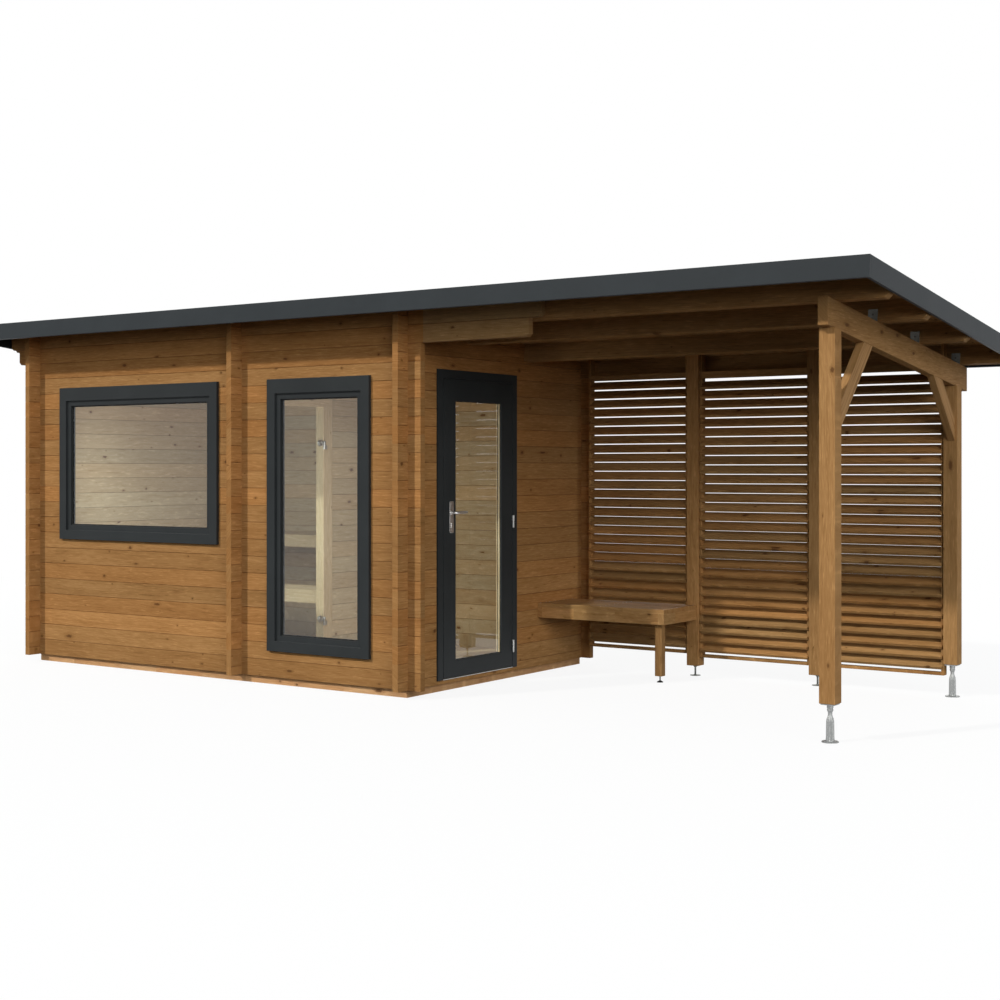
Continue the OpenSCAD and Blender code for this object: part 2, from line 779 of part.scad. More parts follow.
// The front and rear fascia run the whole length, the side ones stand between them
module eave_fascias() color("darkslategray") from_corner()
    for (s = [roof_s0, roof_s1 - fascia_t])
        fascia(roof_x0, roof_x1, s, s + fascia_t);

module side_fascias() color("darkslategray") from_corner()
    for (x = [roof_x0, roof_x1 - fascia_t])
        fascia(x, x + fascia_t, roof_s0 + fascia_t + play, roof_s1 - fascia_t - play);

// ---- terrace frame ----

module terrace_beam() color("peru") from_corner() intersection() {
    on_roof() block([beam_x - beam_w / 2, -big, beam_low], [beam_x + beam_w / 2, big, -purlin_h]);
    block([0, beam_y0, 0], [big, beam_y1, big]);
}

// A brace flush with the beam's outer face, from a post's face at y, its middle line rising from
// height z towards the side dir
module brace(y, z, dir) intersection() {
    translate([beam_x + beam_w / 2 - brace_t, y, z]) rotate([dir * brace_angle, 0, 0])
        translate([0, -big / 2, -brace_h / 2]) cube([brace_t, big, brace_h]);
    under_roof(beam_low);
    block([0, dir > 0 ? y : -big, 0], [big, dir > 0 ? big : y, big]);
}

module knee_braces() color("peru") from_corner() {
    brace(front_post_y + post_w / 2, roof_z - front_brace_drop, 1);
    brace(rear_post_y - post_w / 2, roof_z - rear_brace_drop, -1);
}

// Angle brackets on the beam, against the near face of the purlins
module purlin_brackets() color("silver") from_corner()
    on_roof() for (i = [1 : 3])
        translate([beam_x - bracket_w / 2, purlin_s[i], -purlin_h]) {
            translate([0, -bracket_l, 0]) cube([bracket_w, bracket_l, bracket_t]);
            translate([0, -bracket_t, 0]) cube([bracket_w, bracket_t, bracket_l]);
        }

// A post standing from height z up to the plane at height n under the roof
module terrace_post(x, y, z, n) intersection() {
    block([x - post_w / 2, y - post_w / 2, z], [x + post_w / 2, y + post_w / 2, big]);
    under_roof(n);
}

module front_post() color("peru") from_corner()
    terrace_post(beam_x, front_post_y, long_foot_h, beam_low);

module rear_posts() color("peru") from_corner() {
    terrace_post(post_x[0], rear_post_y, short_foot_h, 0);
    terrace_post(post_x[1], rear_post_y, short_foot_h, 0);
    terrace_post(post_x[2], rear_post_y, long_foot_h, beam_low);
}

// Threaded foot: a round base plate, a rod and, under a heavy post, a square head plate
module foot(x, y, h, rod_d, base_d, base_t, head = 0)
    translate([x, y, 0]) {
        cylinder(d = base_d, h = base_t, $fn = 48);
        cylinder(d = rod_d, h = h, $fn = 32);
        if (head > 0)
            translate([-head / 2, -head / 2, h - base_t]) cube([head, head, base_t]);
    }

module post_feet() color("silver") from_corner() {
    for (i = [0, 1])
        foot(post_x[i], rear_post_y, short_foot_h, short_rod_d, short_base_d, foot_plate_t);
    for (y = [front_post_y, rear_post_y])
        foot(beam_x, y, long_foot_h, long_rod_d, long_base_d, foot_plate_t, head_w);
    foot(leg_x0 + leg_w / 2, leg_y0 + leg_w / 2, leg_foot_h, leg_rod_d, leg_base_d, leg_base_t);
}

// ---- louvred screens ----

// A framed screen from x over a width of w, hung higher by lift, its top rail by half of that,
// its stiles up to the roof boards
module screen(x, w, lift) {
    y0 = rear_post_y - screen_frame_d / 2;
    y1 = rear_post_y + screen_frame_d / 2;
    z0 = screen_z + lift;
    intersection() {
        for (sx = [x, x + w - screen_stile])
            block([sx, y0, z0], [sx + screen_stile, y1, roof_z]);
        under_roof();
    }
    intersection() {
        block([x, y0, top_rail_z + lift / 2], [x + w, y1, roof_z]);
        under_roof(-purlin_h);
    }
    block([x, y0, z0], [x + w, y1, z0 + screen_rail]);
    for (i = [0 : slats - 1])
        translate([x + screen_stile / 2, rear_post_y, first_slat + lift + i * slat_pitch])
            rotate([slat_tilt, 0, 0]) translate([0, -slat_w / 2, -slat_t / 2])
                cube([w - screen_stile, slat_w, slat_t]);
}

module screen_left() color("peru") from_corner()
    screen(first_screen_x, log_end + first_bay_w - first_screen_x, first_screen_lift);

module screen_middle() color("peru") from_corner()
    screen(post_x[0] + post_w / 2, bay_w, 0);

module screen_right() color("peru") from_corner()
    screen(post_x[1] + post_w / 2, bay_w, 0);

// ---- terrace bench ----

module bench_top() color("peru") from_corner() {
    w = (bench_d + bench_gap) / bench_boards;
    for (i = [0 : bench_boards - 1])
        block([0, bench_y0 + i * w, bench_frame_z1], [bench_l, bench_y0 + (i + 1) * w - bench_gap, bench_z]);
}

// Four apron boards, with a leg in the corner that neither the wall nor a post carries
module bench_frame() color("peru") from_corner() {
    z0 = bench_frame_z1 - apron_h;
    difference() {
        block([0, bench_y0, z0], [bench_l, bench_y1, bench_frame_z1]);
        block([apron_t, bench_y0 + apron_t, 0], [bench_l - apron_t, bench_y1 - apron_t, big]);
    }
    block([leg_x0, leg_y0, leg_foot_h], [leg_x0 + leg_w, leg_y0 + leg_w, bench_frame_z1]);
}

foundation();
floor();
front_wall();
rear_wall();
left_wall();
partition_front();
partition_rear();
partition_top();
door_wall_front();
door_wall_rear();
door_wall_top();
door_sill();
wide_window_frame();
wide_window_glass();
tall_window_frame();
tall_window_glass();
door_frame();
door_threshold();
door_leaf();
door_glass();
door_lock();
door_lever();
door_hinges();
frame_hinges();
sauna_door_frame();
sauna_door_glass();
sauna_door_fittings();
sauna_frame_hinges();
sauna_benches();
purlins();
roof_boards();
roof_felt();
eave_fascias();
side_fascias();
terrace_beam();
knee_braces();
purlin_brackets();
front_post();
rear_posts();
post_feet();
screen_left();
screen_middle();
screen_right();
bench_top();
bench_frame();
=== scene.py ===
"""Looks of the log sauna cabin: materials, fittings, boards, light and camera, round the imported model."""

import math

import bmesh
import bpy
from mathutils import Matrix, Vector


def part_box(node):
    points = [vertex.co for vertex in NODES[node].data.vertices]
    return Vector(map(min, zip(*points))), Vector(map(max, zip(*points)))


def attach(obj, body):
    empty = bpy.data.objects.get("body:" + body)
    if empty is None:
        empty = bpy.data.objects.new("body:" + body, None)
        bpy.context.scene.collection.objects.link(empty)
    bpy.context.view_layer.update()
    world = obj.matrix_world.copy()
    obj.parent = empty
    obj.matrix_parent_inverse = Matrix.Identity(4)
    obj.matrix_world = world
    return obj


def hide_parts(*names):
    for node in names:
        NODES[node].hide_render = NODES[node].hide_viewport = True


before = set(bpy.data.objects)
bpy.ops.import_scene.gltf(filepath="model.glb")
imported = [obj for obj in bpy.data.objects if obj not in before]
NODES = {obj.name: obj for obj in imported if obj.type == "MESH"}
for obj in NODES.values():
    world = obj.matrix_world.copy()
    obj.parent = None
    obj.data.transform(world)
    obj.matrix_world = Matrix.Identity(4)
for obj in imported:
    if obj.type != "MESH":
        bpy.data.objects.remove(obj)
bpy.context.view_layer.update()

# ---- sizes of the part, in metres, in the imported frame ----

OX, OY = 0.055, -0.055                # from the wall corner to the frame's origin
WALL, LOG, BEARER = 0.044, 0.114, 0.05
PITCH = math.radians(6.3)
ROOF_Z = BEARER + 21 * LOG
RX0, RX1 = -3.84 + OX, 3.117 + OX     # the roof's ends
LEFT_X, DOOR_X = -3.51 + OX, -0.044 + OX
REAR_Y = 2.081 + OY
LEAF_X0, LEAF_X1 = -0.028 + OX, 0.014 + OX
LEVER = Vector((LEAF_X1, 0.445 + OY, 1.15))
BEAM_X = 2.776 + OX                   # the terrace beam and both posts under it
FRONT_POST_Y, REAR_POST_Y = 0.022 + OY, 2.005 + OY
SHORT_POST_X = (0.972 + OX, 1.874 + OX)
BENCH_LEG = (0.938 + OX, 1.555 + OY)
DEPTH, FRONT_EAVE, REAR_EAVE = 2.125, 0.300, 0.250
FASCIA_GAP = 0.0203                   # from the roof's edge to its boards: the fascia and its play
ROOF_BOARD, ROOF_BOARD_T = 0.0955, 0.020
SCREEN_PITCH, STILE = 0.0647, 0.0189  # of the slats; a stile's width, just inside its face
RING = 0.0062                         # from one growth ring of the wood to the next

CABIN, DOOR, HANDLE, SAUNA_DOOR = "cabin", "entrance_door", "door_lever", "sauna_door"


# ---- node trees ----

class Tree:
    """The node tree of a new material, or of the owner given, with a short call for each kind of node."""

    def __init__(self, name="", owner=None):
        self.owner = owner or bpy.data.materials.new(name)
        self.owner.use_nodes = True
        self.nt = self.owner.node_tree
        self.nt.nodes.clear()
        self.coord = None

    def node(self, kind, **props):
        n = self.nt.nodes.new(kind)
        for k, v in props.items():
            setattr(n, k, v)
        return n

    def put(self, socket, value):
        if isinstance(value, bpy.types.NodeSocket):
            self.nt.links.new(value, socket)
        elif value is not None:
            socket.default_value = value

    def preset(self, kind, **inputs):
        """The first output of a new node whose named inputs are set or linked."""
        n = self.node("ShaderNode" + kind)
        for k, v in inputs.items():
            self.put(n.inputs[k], v)
        return n.outputs[0]

    def math(self, op, a, b=None):
        n = self.node("ShaderNodeMath", operation=op)
        for i, v in enumerate((a, b)):
            self.put(n.inputs[i], v)
        return n.outputs[0]

    def add(self, a, b): return self.math("ADD", a, b)
    def sub(self, a, b): return self.math("SUBTRACT", a, b)
    def mul(self, a, b): return self.math("MULTIPLY", a, b)

    def total(self, *terms):
        out = terms[0]
        for v in terms[1:]:
            out = self.add(out, v)
        return out

    def length(self, a, b):
        return self.math("SQRT", self.add(self.mul(a, a), self.mul(b, b)))

    def between(self, v, lo, hi):
        """1 where lo < v < hi."""
        return self.mul(self.math("GREATER_THAN", v, lo), self.math("LESS_THAN", v, hi))

    def smooth(self, v, lo, hi, a=0.0, b=1.0, how="SMOOTHSTEP"):
        """From a, where v is at lo or below, to b, where it is at hi or above."""
        n = self.node("ShaderNodeMapRange", interpolation_type=how)
        for i, x in enumerate((v, lo, hi, a, b)):
            self.put(n.inputs[i], x)
        return n.outputs[0]

    def xyz(self, x, y, z):
        n = self.node("ShaderNodeCombineXYZ")
        for i, v in enumerate((x, y, z)):
            self.put(n.inputs[i], v)
        return n.outputs[0]

    def split(self, v):
        n = self.node("ShaderNodeSeparateXYZ")
        self.put(n.inputs[0], v)
        return list(n.outputs)

    def place(self, which="Object"):
        if self.coord is None:
            self.coord = self.node("ShaderNodeTexCoord")
        return self.split(self.coord.outputs[which])

    def noise(self, v, scale=1.0, detail=2.0, rough=0.5):
        n = self.node("ShaderNodeTexNoise")
        self.put(n.inputs["Vector"], v)
        n.inputs["Scale"].default_value = scale
        n.inputs["Detail"].default_value = detail
        n.inputs["Roughness"].default_value = rough
        return n.outputs[0]

    def white(self, v):
        n = self.node("ShaderNodeTexWhiteNoise", noise_dimensions="3D")
        self.put(n.inputs["Vector"], v)
        return n.outputs["Value"], self.split(n.outputs["Color"])

    def cells(self, v, randomness=1.0):
        n = self.node("ShaderNodeTexVoronoi")
        self.put(n.inputs["Vector"], v)
        n.inputs["Scale"].default_value = 1.0
        n.inputs["Randomness"].default_value = randomness
        return self.split(n.outputs["Position"]), self.split(n.outputs["Color"])

    def lerp(self, fac, a, b):
        n = self.node("ShaderNodeMix", data_type="FLOAT")
        self.put(n.inputs[0], fac)
        self.put(n.inputs[2], a)
        self.put(n.inputs[3], b)
        return n.outputs[0]

    def mix(self, fac, a, b, how="MIX"):
        n = self.node("ShaderNodeMix", data_type="RGBA", blend_type=how)
        self.put(n.inputs[0], fac)
        self.put(n.inputs[6], a)
        self.put(n.inputs[7], b)
        return n.outputs[2]

    def edges(self, radius=0.0035):
        """1 on the outer edges, where hands, brooms and weather rub."""
        soft = self.node("ShaderNodeBevel", samples=3)
        soft.inputs["Radius"].default_value = radius
        dot = self.node("ShaderNodeVectorMath", operation="DOT_PRODUCT")
        self.put(dot.inputs[0], soft.outputs[0])
        self.put(dot.inputs[1], self.node("ShaderNodeNewGeometry").outputs["Normal"])
        return self.smooth(dot.outputs["Value"], 0.78, 0.97, 1.0, 0.0)

    def tone(self, r, g, b):
        n = self.node("ShaderNodeCombineColor")
        for i, v in enumerate((r, g, b)):
            self.put(n.inputs[i], v)
        return n.outputs[0]

    def looked(self):
        """1 for what the camera sees, by itself or in or through glass."""
        path = self.node("ShaderNodeLightPath").outputs
        return self.math("MAXIMUM", self.math("MAXIMUM", path["Is Camera Ray"], path["Is Glossy Ray"]),
                         path["Is Transmission Ray"])

    def blend(self, fac, a, b):
        """One shader where fac is 0 and the other where it is 1."""
        n = self.node("ShaderNodeMixShader")
        for i, v in enumerate((fac, a, b)):
            self.put(n.inputs[i], v)
        return n.outputs[0]

    def bump(self, height, strength, distance):
        n = self.node("ShaderNodeBump")
        self.put(n.inputs["Height"], height)
        n.inputs["Strength"].default_value = strength
        n.inputs["Distance"].default_value = distance
        return n.outputs[0]

    def surface(self, colour, rough, normal=None, metal=0.0, spec=0.5):
        p = self.node("ShaderNodeBsdfPrincipled")
        self.put(p.inputs["Base Color"], colour)
        self.put(p.inputs["Roughness"], rough)
        self.put(p.inputs["Normal"], normal)
        p.inputs["Metallic"].default_value = metal
        p.inputs["Specular IOR Level"].default_value = spec
        return self.out(p.outputs[0])

    def out(self, shader, kind="ShaderNodeOutputMaterial"):
        self.put(self.node(kind).inputs[0], shader)
        return self.owner


def rgb(r, g, b):
    return (r, g, b, 1.0)


STAIN = dict(pale=rgb(0.450, 0.232, 0.085), mid=rgb(0.360, 0.176, 0.060), dark=rgb(0.215, 0.096, 0.029),
             knot=rgb(0.120, 0.048, 0.018))
OLIVE = dict(pale=rgb(0.440, 0.246, 0.098), mid=rgb(0.350, 0.186, 0.070), dark=rgb(0.210, 0.104, 0.035),
             knot=rgb(0.120, 0.052, 0.020))
# SHADED: painted shade, the greener tone the stain shows where it lies in shade under the roof
SHADED = dict(pale=rgb(0.445, 0.278, 0.128), mid=rgb(0.355, 0.212, 0.092), dark=rgb(0.215, 0.120, 0.048),
              knot=rgb(0.120, 0.058, 0.024))
PLAIN = dict(pale=rgb(0.700, 0.570, 0.385), mid=rgb(0.630, 0.490, 0.310), dark=rgb(0.470, 0.325, 0.175),
             knot=rgb(0.190, 0.085, 0.038))
TREATED = dict(pale=rgb(0.700, 0.420, 0.210), mid=rgb(0.600, 0.330, 0.155), dark=rgb(0.380, 0.180, 0.075),
               knot=rgb(0.100, 0.040, 0.016))


def wood(name, along, face, boards=(), stain=STAIN, inside=None, seed=0.0, knots=0.26, tone=0.09,
         seams=None, cross=None, worn=0.35, spec=0.05, other=None):
    """Planed conifer wood whose grain runs along one axis of the part.

    along    0, 1 or 2: the axis of the grain
    face     the axis across the grain on the broad faces
    boards   (axis, start, pitch) of each direction in which one board follows another
    inside   a palette for the wood indoors, which was never stained
    knots    the share of places for a knot that have one
    tone     how much lighter or darker than the rest a board can be
    seams    (axis, start, pitch, half width, depth of colour) of the painted shade in the gaps between two boards
    cross    function (tree, x, y, z) -> [(mask, along, face)]: where a mask is 1 the grain runs that way
    worn     how much paler the rubbed edges are
    spec     how much the planed surface shines
    other    (function (tree, x, y, z) -> mask, palette): where the mask is 1 the wood takes that palette instead, used here as painted shade on wood that lies in shade
    """
    t = Tree(name)
    xyz = t.place()
    n_xyz = t.place("Normal")

    def turned(axis, side):
        return xyz[axis], xyz[side], xyz[3 - axis - side], n_xyz[axis]

    u, v, w, n_u = turned(along, face)
    if cross:
        for mask, axis, side in cross(t, *xyz):
            u, v, w, n_u = [t.lerp(mask, a, b) for a, b in zip((u, v, w, n_u), turned(axis, side))]
    ids = [0.37 + seed, 0.61 - seed, 0.13 + 2.0 * seed]
    for axis, start, pitch in boards:
        ids[axis] = t.add(t.math("FLOOR", t.mul(t.sub(xyz[axis], start), 1.0 / pitch)), ids[axis])
    one, (r1, r2, r3) = t.white(t.xyz(*ids))
    far = t.add(u, t.mul(one, 53.0))                       # no two boards share a stretch of grain

    # knots: short branches through the board, each pushing the grain aside
    across, deep, run = 0.085, 0.30, 0.26
    cu = t.mul(far, 1 / run)
    cv = t.add(t.mul(v, 1 / across), t.mul(r1, 9.0))
    place, pick = t.cells(t.xyz(cu, cv, t.add(t.mul(w, 1 / deep), t.mul(r2, 5.0))), 0.85)
    du = t.mul(t.sub(cu, place[0]), run)
    dv = t.mul(t.sub(cv, place[1]), across)
    lump = t.noise(t.xyz(t.mul(du, 90.0), t.mul(dv, 90.0), t.mul(pick[1], 40.0)), 1.0, 1.0)
    dk = t.mul(t.length(t.mul(du, t.add(0.30, t.mul(pick[2], 0.60))), dv), t.add(0.55, t.mul(lump, 0.9)))
    size = t.mul(t.math("GREATER_THAN", pick[0], 1.0 - knots),
                 t.add(0.0030, t.mul(t.mul(pick[1], pick[1]), 0.0120)))
    knot = t.smooth(dk, t.mul(size, 0.45), t.mul(size, 1.10), 1.0, 0.0)
    ring = t.smooth(dk, t.mul(size, 0.9), t.add(t.mul(size, 2.4), 0.0005), 1.0, 0.0)
    push = t.mul(t.mul(ring, dv), -0.9)

    # growth rings about a pith that wanders along the board
    drift = t.noise(t.xyz(t.mul(far, 0.7), r2, r3), 1.0, 2.0)
    wav = t.noise(t.xyz(t.mul(far, 3.2), t.mul(v, 9.0), t.mul(w, 9.0)), 1.0, 2.0)
    pv = t.total(v, push, t.mul(t.sub(drift, 0.5), 0.11), t.mul(t.sub(wav, 0.5), 0.009),
                 t.mul(t.sub(r1, 0.5), 0.06))
    pw = t.total(w, t.mul(r2, 0.05), 0.03, t.mul(t.sub(wav, 0.5), 0.009))
    rad = t.length(pv, pw)
    late = t.math("POWER", t.math("FRACT", t.mul(rad, 1.0 / RING)), 3.0)
    band = t.noise(t.xyz(t.mul(far, 0.8), t.mul(rad, 30.0), t.mul(r3, 20.0)), 1.0, 3.0, 0.6)
    streak = t.noise(t.xyz(t.mul(far, 3.4), t.mul(rad, 85.0), t.mul(r3, 31.0)), 1.0, 3.0, 0.65)
    line = t.noise(t.xyz(t.mul(far, 13.0), t.mul(rad, 150.0), t.mul(r1, 47.0)), 1.0, 2.0, 0.6)
    fine = t.noise(t.xyz(t.mul(far, 11.0), t.mul(pv, 560.0), t.mul(w, 560.0)), 1.0, 2.0, 0.6)
    blot = t.noise(t.xyz(t.mul(far, 1.9), t.mul(v, 6.0), t.mul(w, 6.0)), 1.0, 3.0, 0.55)

    end = t.smooth(t.math("ABSOLUTE", n_u), 0.55, 0.85)
    grain = t.total(t.mul(late, 0.20), t.mul(t.smooth(band, 0.36, 0.68), 0.20),
                    t.mul(t.smooth(streak, 0.42, 0.74), 0.36), t.mul(t.sub(fine, 0.5), 0.50),
                    t.mul(t.sub(line, 0.5), 1.00), t.mul(t.sub(blot, 0.5), 0.90), 0.12)
    crack = t.mul(t.smooth(line, 0.64, 0.74), t.sub(1.0, end))
    fleck = t.mul(t.smooth(line, 0.29, 0.41, 1.0, 0.0), t.sub(1.0, end))
    edge = t.mul(t.edges(), worn) if worn else None

    def paint(p):
        c = t.mix(t.smooth(grain, -0.10, 0.45), p["pale"], p["mid"])
        c = t.mix(t.smooth(grain, 0.35, 1.15), c, p["dark"])
        c = t.mix(t.mul(crack, 0.42), c, p["dark"])
        c = t.mix(t.mul(fleck, 0.38), c, rgb(*[1.35 * v for v in p["pale"][:3]]))
        c = t.mix(t.mul(ring, 0.40), c, p["dark"])
        c = t.mix(t.mul(knot, t.add(0.50, t.mul(pick[1], 0.40))), c, p["knot"])
        c = t.mix(t.mul(end, t.add(0.10, t.mul(late, 0.25))), c, p["dark"])
        return t.mix(edge, c, p["pale"]) if worn else c

    colour = paint(stain)
    if inside:
        half = WALL / 2
        indoors = t.mul(t.between(xyz[0], LEFT_X + half, DOOR_X + half),
                        t.between(xyz[1], OY + half, REAR_Y + half))
        colour = t.mix(indoors, colour, paint(inside))
    # painted shade: where the mask is 1 the shaded palette takes over
    if other:
        colour = t.mix(other[0](t, *xyz), colour, paint(other[1]))
    level = t.add(1.0 - tone, t.mul(r3, 2.0 * tone))       # boards differ in tone and in hue
    warm = t.mul(t.sub(r1, 0.5), tone * 1.1)
    colour = t.mix(1.0, colour, t.tone(t.add(level, warm), level, t.sub(level, warm)), "MULTIPLY")
    height = t.total(t.mul(late, -0.25), t.mul(fine, -0.55), t.mul(crack, -0.6), t.mul(knot, 0.5))
    # painted shade in the gaps between boards, darkest on each joint line
    if seams:
        axis, start, pitch, half, depth = seams
        s = t.sub(xyz[axis], start)
        gap = t.math("ABSOLUTE", t.sub(s, t.mul(t.math("ROUND", t.mul(s, 1.0 / pitch)), pitch)))
        gap_shade = t.mul(t.smooth(gap, half * 0.5, half, 1.0, 0.0), t.sub(1.0, end))
        colour = t.mix(t.mul(gap_shade, depth), colour, stain["knot"])
        height = t.sub(height, gap_shade)
    rough = t.add(0.62, t.mul(t.sub(fine, 0.5), 0.25))
    return t.surface(colour, rough, t.bump(height, 0.32, 0.0006), spec=spec)


def coated(name, colour, rough=0.45, spec=0.12, grain=None, dust=0.30, bare=None):
    """Satin paint with a little orange peel, dust in patches and rubbed edges.

    grain    the axis of the wood grain that shows through it
    dust     how much lighter the dusty patches are
    bare     function (tree, x, y, z) -> mask: where it is 1 the wood was never painted
    """
    t = Tree(name)
    x, y, z = t.place()
    p = t.xyz(x, y, z)
    peel = t.noise(p, 900.0, 2.0)
    cloud = t.noise(p, 3.0, 4.0, 0.6)
    height = peel
    if grain is not None:
        s = [520.0, 520.0, 520.0]
        s[grain] = 7.0
        lines = t.noise(t.xyz(*[t.mul(a, b) for a, b in zip((x, y, z), s)]), 1.0, 3.0, 0.6)
        height = t.add(t.mul(peel, 0.25), lines)
    lighter = rgb(*[min(1.0, c * 1.45 + 0.005) for c in colour[:3]])
    tint = t.mix(t.smooth(cloud, 0.35, 0.75, 0.0, dust), colour, lighter)
    tint = t.mix(t.mul(t.edges(0.002), 0.6), tint, lighter)
    if bare:
        rings = t.noise(t.xyz(t.mul(x, 260.0), t.mul(y, 260.0), t.mul(z, 4.0)), 1.0, 3.0, 0.6)
        planed = t.mix(t.smooth(rings, 0.35, 0.7), PLAIN["pale"], PLAIN["dark"])
        tint = t.mix(bare(t, x, y, z), tint, planed)
    return t.surface(tint, t.add(rough, t.mul(t.sub(cloud, 0.5), 0.16)), t.bump(height, 0.12, 0.0004),
                     spec=spec)


def metal(name, colour, rough=0.32, brushed=None, spangle=0.0):
    """Metal, brushed along one axis or with the crystals of a zinc coat."""
    t = Tree(name)
    x, y, z = t.place()
    s = [260.0, 260.0, 260.0]
    if brushed is not None:
        s = [2400.0, 2400.0, 2400.0]
        s[brushed] = 30.0
    lines = t.noise(t.xyz(*[t.mul(a, b) for a, b in zip((x, y, z), s)]), 1.0, 2.0)
    tone = t.smooth(lines, 0.3, 0.7, 0.88, 1.06)
    if spangle:
        _, pick = t.cells(t.xyz(t.mul(x, 160.0), t.mul(y, 160.0), t.mul(z, 160.0)))
        tone = t.mul(tone, t.add(1.0 - spangle, t.mul(pick[0], 2.0 * spangle)))
    tint = t.mix(1.0, colour, t.tone(tone, tone, tone), "MULTIPLY")
    return t.surface(tint, t.add(rough, t.mul(t.sub(lines, 0.5), 0.2)), t.bump(lines, 0.1, 0.0002), metal=1.0)


def glass(name, tint):
    """A clear pane: it reflects as glass does, and lets the lamps through."""
    t = Tree(name)
    clear = t.preset("BsdfTransparent", Color=tint)
    gloss = t.preset("BsdfGlossy", Roughness=0.015, Color=rgb(0.93, 0.95, 0.97))
    shadow = t.node("ShaderNodeLightPath").outputs["Is Shadow Ray"]
    back = t.node("ShaderNodeNewGeometry").outputs["Backfacing"]
    front = t.sub(1.0, t.math("MAXIMUM", shadow, back))
    return t.out(t.blend(t.mul(t.preset("Fresnel", IOR=1.75), front), clear, gloss))


def rubber(name):
    """Matt black rubber with a fine grain."""
    t = Tree(name)
    n = t.noise(t.xyz(*t.place()), 500.0, 2.0)
    black = t.mix(n, rgb(0.010, 0.010, 0.010), rgb(0.022, 0.022, 0.022))
    return t.surface(black, 0.7, t.bump(n, 0.1, 0.0003), spec=0.25)


def felt(name):
    """Bitumen felt: slate granules, with a little weathering."""
    t = Tree(name)
    p = t.xyz(*t.place())
    grit = t.noise(p, 700.0, 2.0, 0.7)
    patch = t.noise(p, 1.6, 5.0, 0.6)
    c = t.mix(t.smooth(grit, 0.35, 0.65), rgb(0.018, 0.020, 0.022), rgb(0.085, 0.088, 0.092))
    c = t.mix(t.smooth(patch, 0.4, 0.7, 0.0, 0.35), c, rgb(0.105, 0.103, 0.096))
    return t.surface(c, 0.92, t.bump(grit, 0.5, 0.0012), spec=0.2)


# ---- materials ----

def terrace_end_shade(t, x, y, z):
    """The front wall's two top logs, where they run out over the terrace under the roof: the mask of their
    painted shade.
    """
    return t.math("GREATER_THAN", x, 0.12 + OX)


LOGS_X = wood("log_along_x", 0, 2, [(2, BEARER, LOG)], inside=PLAIN, seed=0.1,
              seams=(2, BEARER, LOG, 0.0022, 0.52), worn=0, other=(terrace_end_shade, SHADED))
SIDE = BEARER + LOG / 2                # the logs of the side walls start half a log higher
LOGS_Y = wood("log_along_y", 1, 2, [(2, SIDE, LOG), (0, LEFT_X - 0.5, 1.3)], inside=PLAIN, seed=0.4,
              seams=(2, SIDE, LOG, 0.0022, 0.52), worn=0)
SILL = wood("sill_wood", 1, 2, seed=0.7)


def bearers(t, x, y, z):
    """The bearers under the front and the rear wall run across the others."""
    ends = t.add(t.math("LESS_THAN", y, 0.030), t.math("GREATER_THAN", y, 1.985))
    return [(ends, 0, 2)]


BEARER_WOOD = wood("bearer_wood", 1, 2, [(0, -3.49, 0.4293)], stain=TREATED, seed=0.9, cross=bearers)
FLOOR_WOOD = wood("floor_wood", 1, 0, [(0, LEFT_X, 0.112)], stain=PLAIN, seed=1.3,
                  seams=(0, LEFT_X, 0.112, 0.001, 0.8))
PURLIN_WOOD = wood("purlin_wood", 0, 2, [(1, -0.2, 0.6)], stain=OLIVE, seed=1.7)
BEAM_WOOD = wood("beam_wood", 1, 2, stain=OLIVE, seed=2.1, knots=0.3, tone=0.05)
POST_WOOD = wood("post_wood", 2, 0, [(0, 0.5, 0.902), (1, -1.0, 2.0)], stain=OLIVE, seed=2.6, knots=0.25,
                 tone=0.06)
ROOF_WOOD = wood("roof_wood", 1, 0, [(0, RX0, ROOF_BOARD)], stain=OLIVE, seed=3.1, worn=0)


def bench_ends(t, x, y, z):
    """The aprons at both ends of the bench, and its leg."""
    return [(t.add(t.math("LESS_THAN", x, 0.0909), t.math("GREATER_THAN", x, 1.0191)), 1, 2),
            (t.math("LESS_THAN", z, 0.389), 2, 0)]


BENCH_WOOD = wood("bench_wood", 0, 1, [(1, 1.4365, 0.1175), (0, -0.2, 0.47)], stain=OLIVE, seed=3.8,
                  tone=0.07)
BENCH_FRAME_WOOD = wood("bench_frame_wood", 0, 2, [(1, 1.3, 0.3), (0, 0.02, 0.33)], stain=OLIVE, seed=4.2,
                        tone=0.12, cross=bench_ends)
SAUNA_WOOD = wood("sauna_wood", 0, 2, [(1, 0.9, 0.131)], stain=PLAIN, seed=4.9, knots=0.2, tone=0.06)


def jambs(t, x, y, z):
    """All of the sauna door's frame that lies below its head."""
    return [(t.math("LESS_THAN", z, 1.86), 2, 1)]


SAUNA_FRAME_WOOD = wood("sauna_frame_wood", 1, 2, stain=PLAIN, seed=5.3, knots=0.15, cross=jambs)


def brace_wood():
    """Grain on the slant of each brace."""
    t = Tree("brace_wood")
    x, y, z = t.place()
    front = t.math("LESS_THAN", y, 1.0)
    u = t.lerp(front, t.sub(z, y), t.add(z, y))
    v = t.lerp(front, t.add(z, y), t.sub(z, y))
    wide = t.noise(t.xyz(t.mul(u, 1.2), t.mul(v, 45.0), t.mul(x, 45.0)), 1.0, 3.0, 0.6)
    fine = t.noise(t.xyz(t.mul(u, 7.0), t.mul(v, 420.0), t.mul(x, 420.0)), 1.0, 2.0)
    c = t.mix(t.smooth(wide, 0.35, 0.65), OLIVE["pale"], OLIVE["mid"])
    c = t.mix(t.smooth(t.add(wide, t.mul(fine, 0.4)), 0.7, 1.0), c, OLIVE["dark"])
    c = t.mix(t.mul(t.edges(), 0.35), c, OLIVE["pale"])
    return t.surface(c, 0.62, t.bump(fine, 0.3, 0.0005), spec=0.10)


BRACE_WOOD = brace_wood()
ANTHRACITE = rgb(0.0235, 0.0268, 0.0285)
PAINT = coated("anthracite_paint", ANTHRACITE)


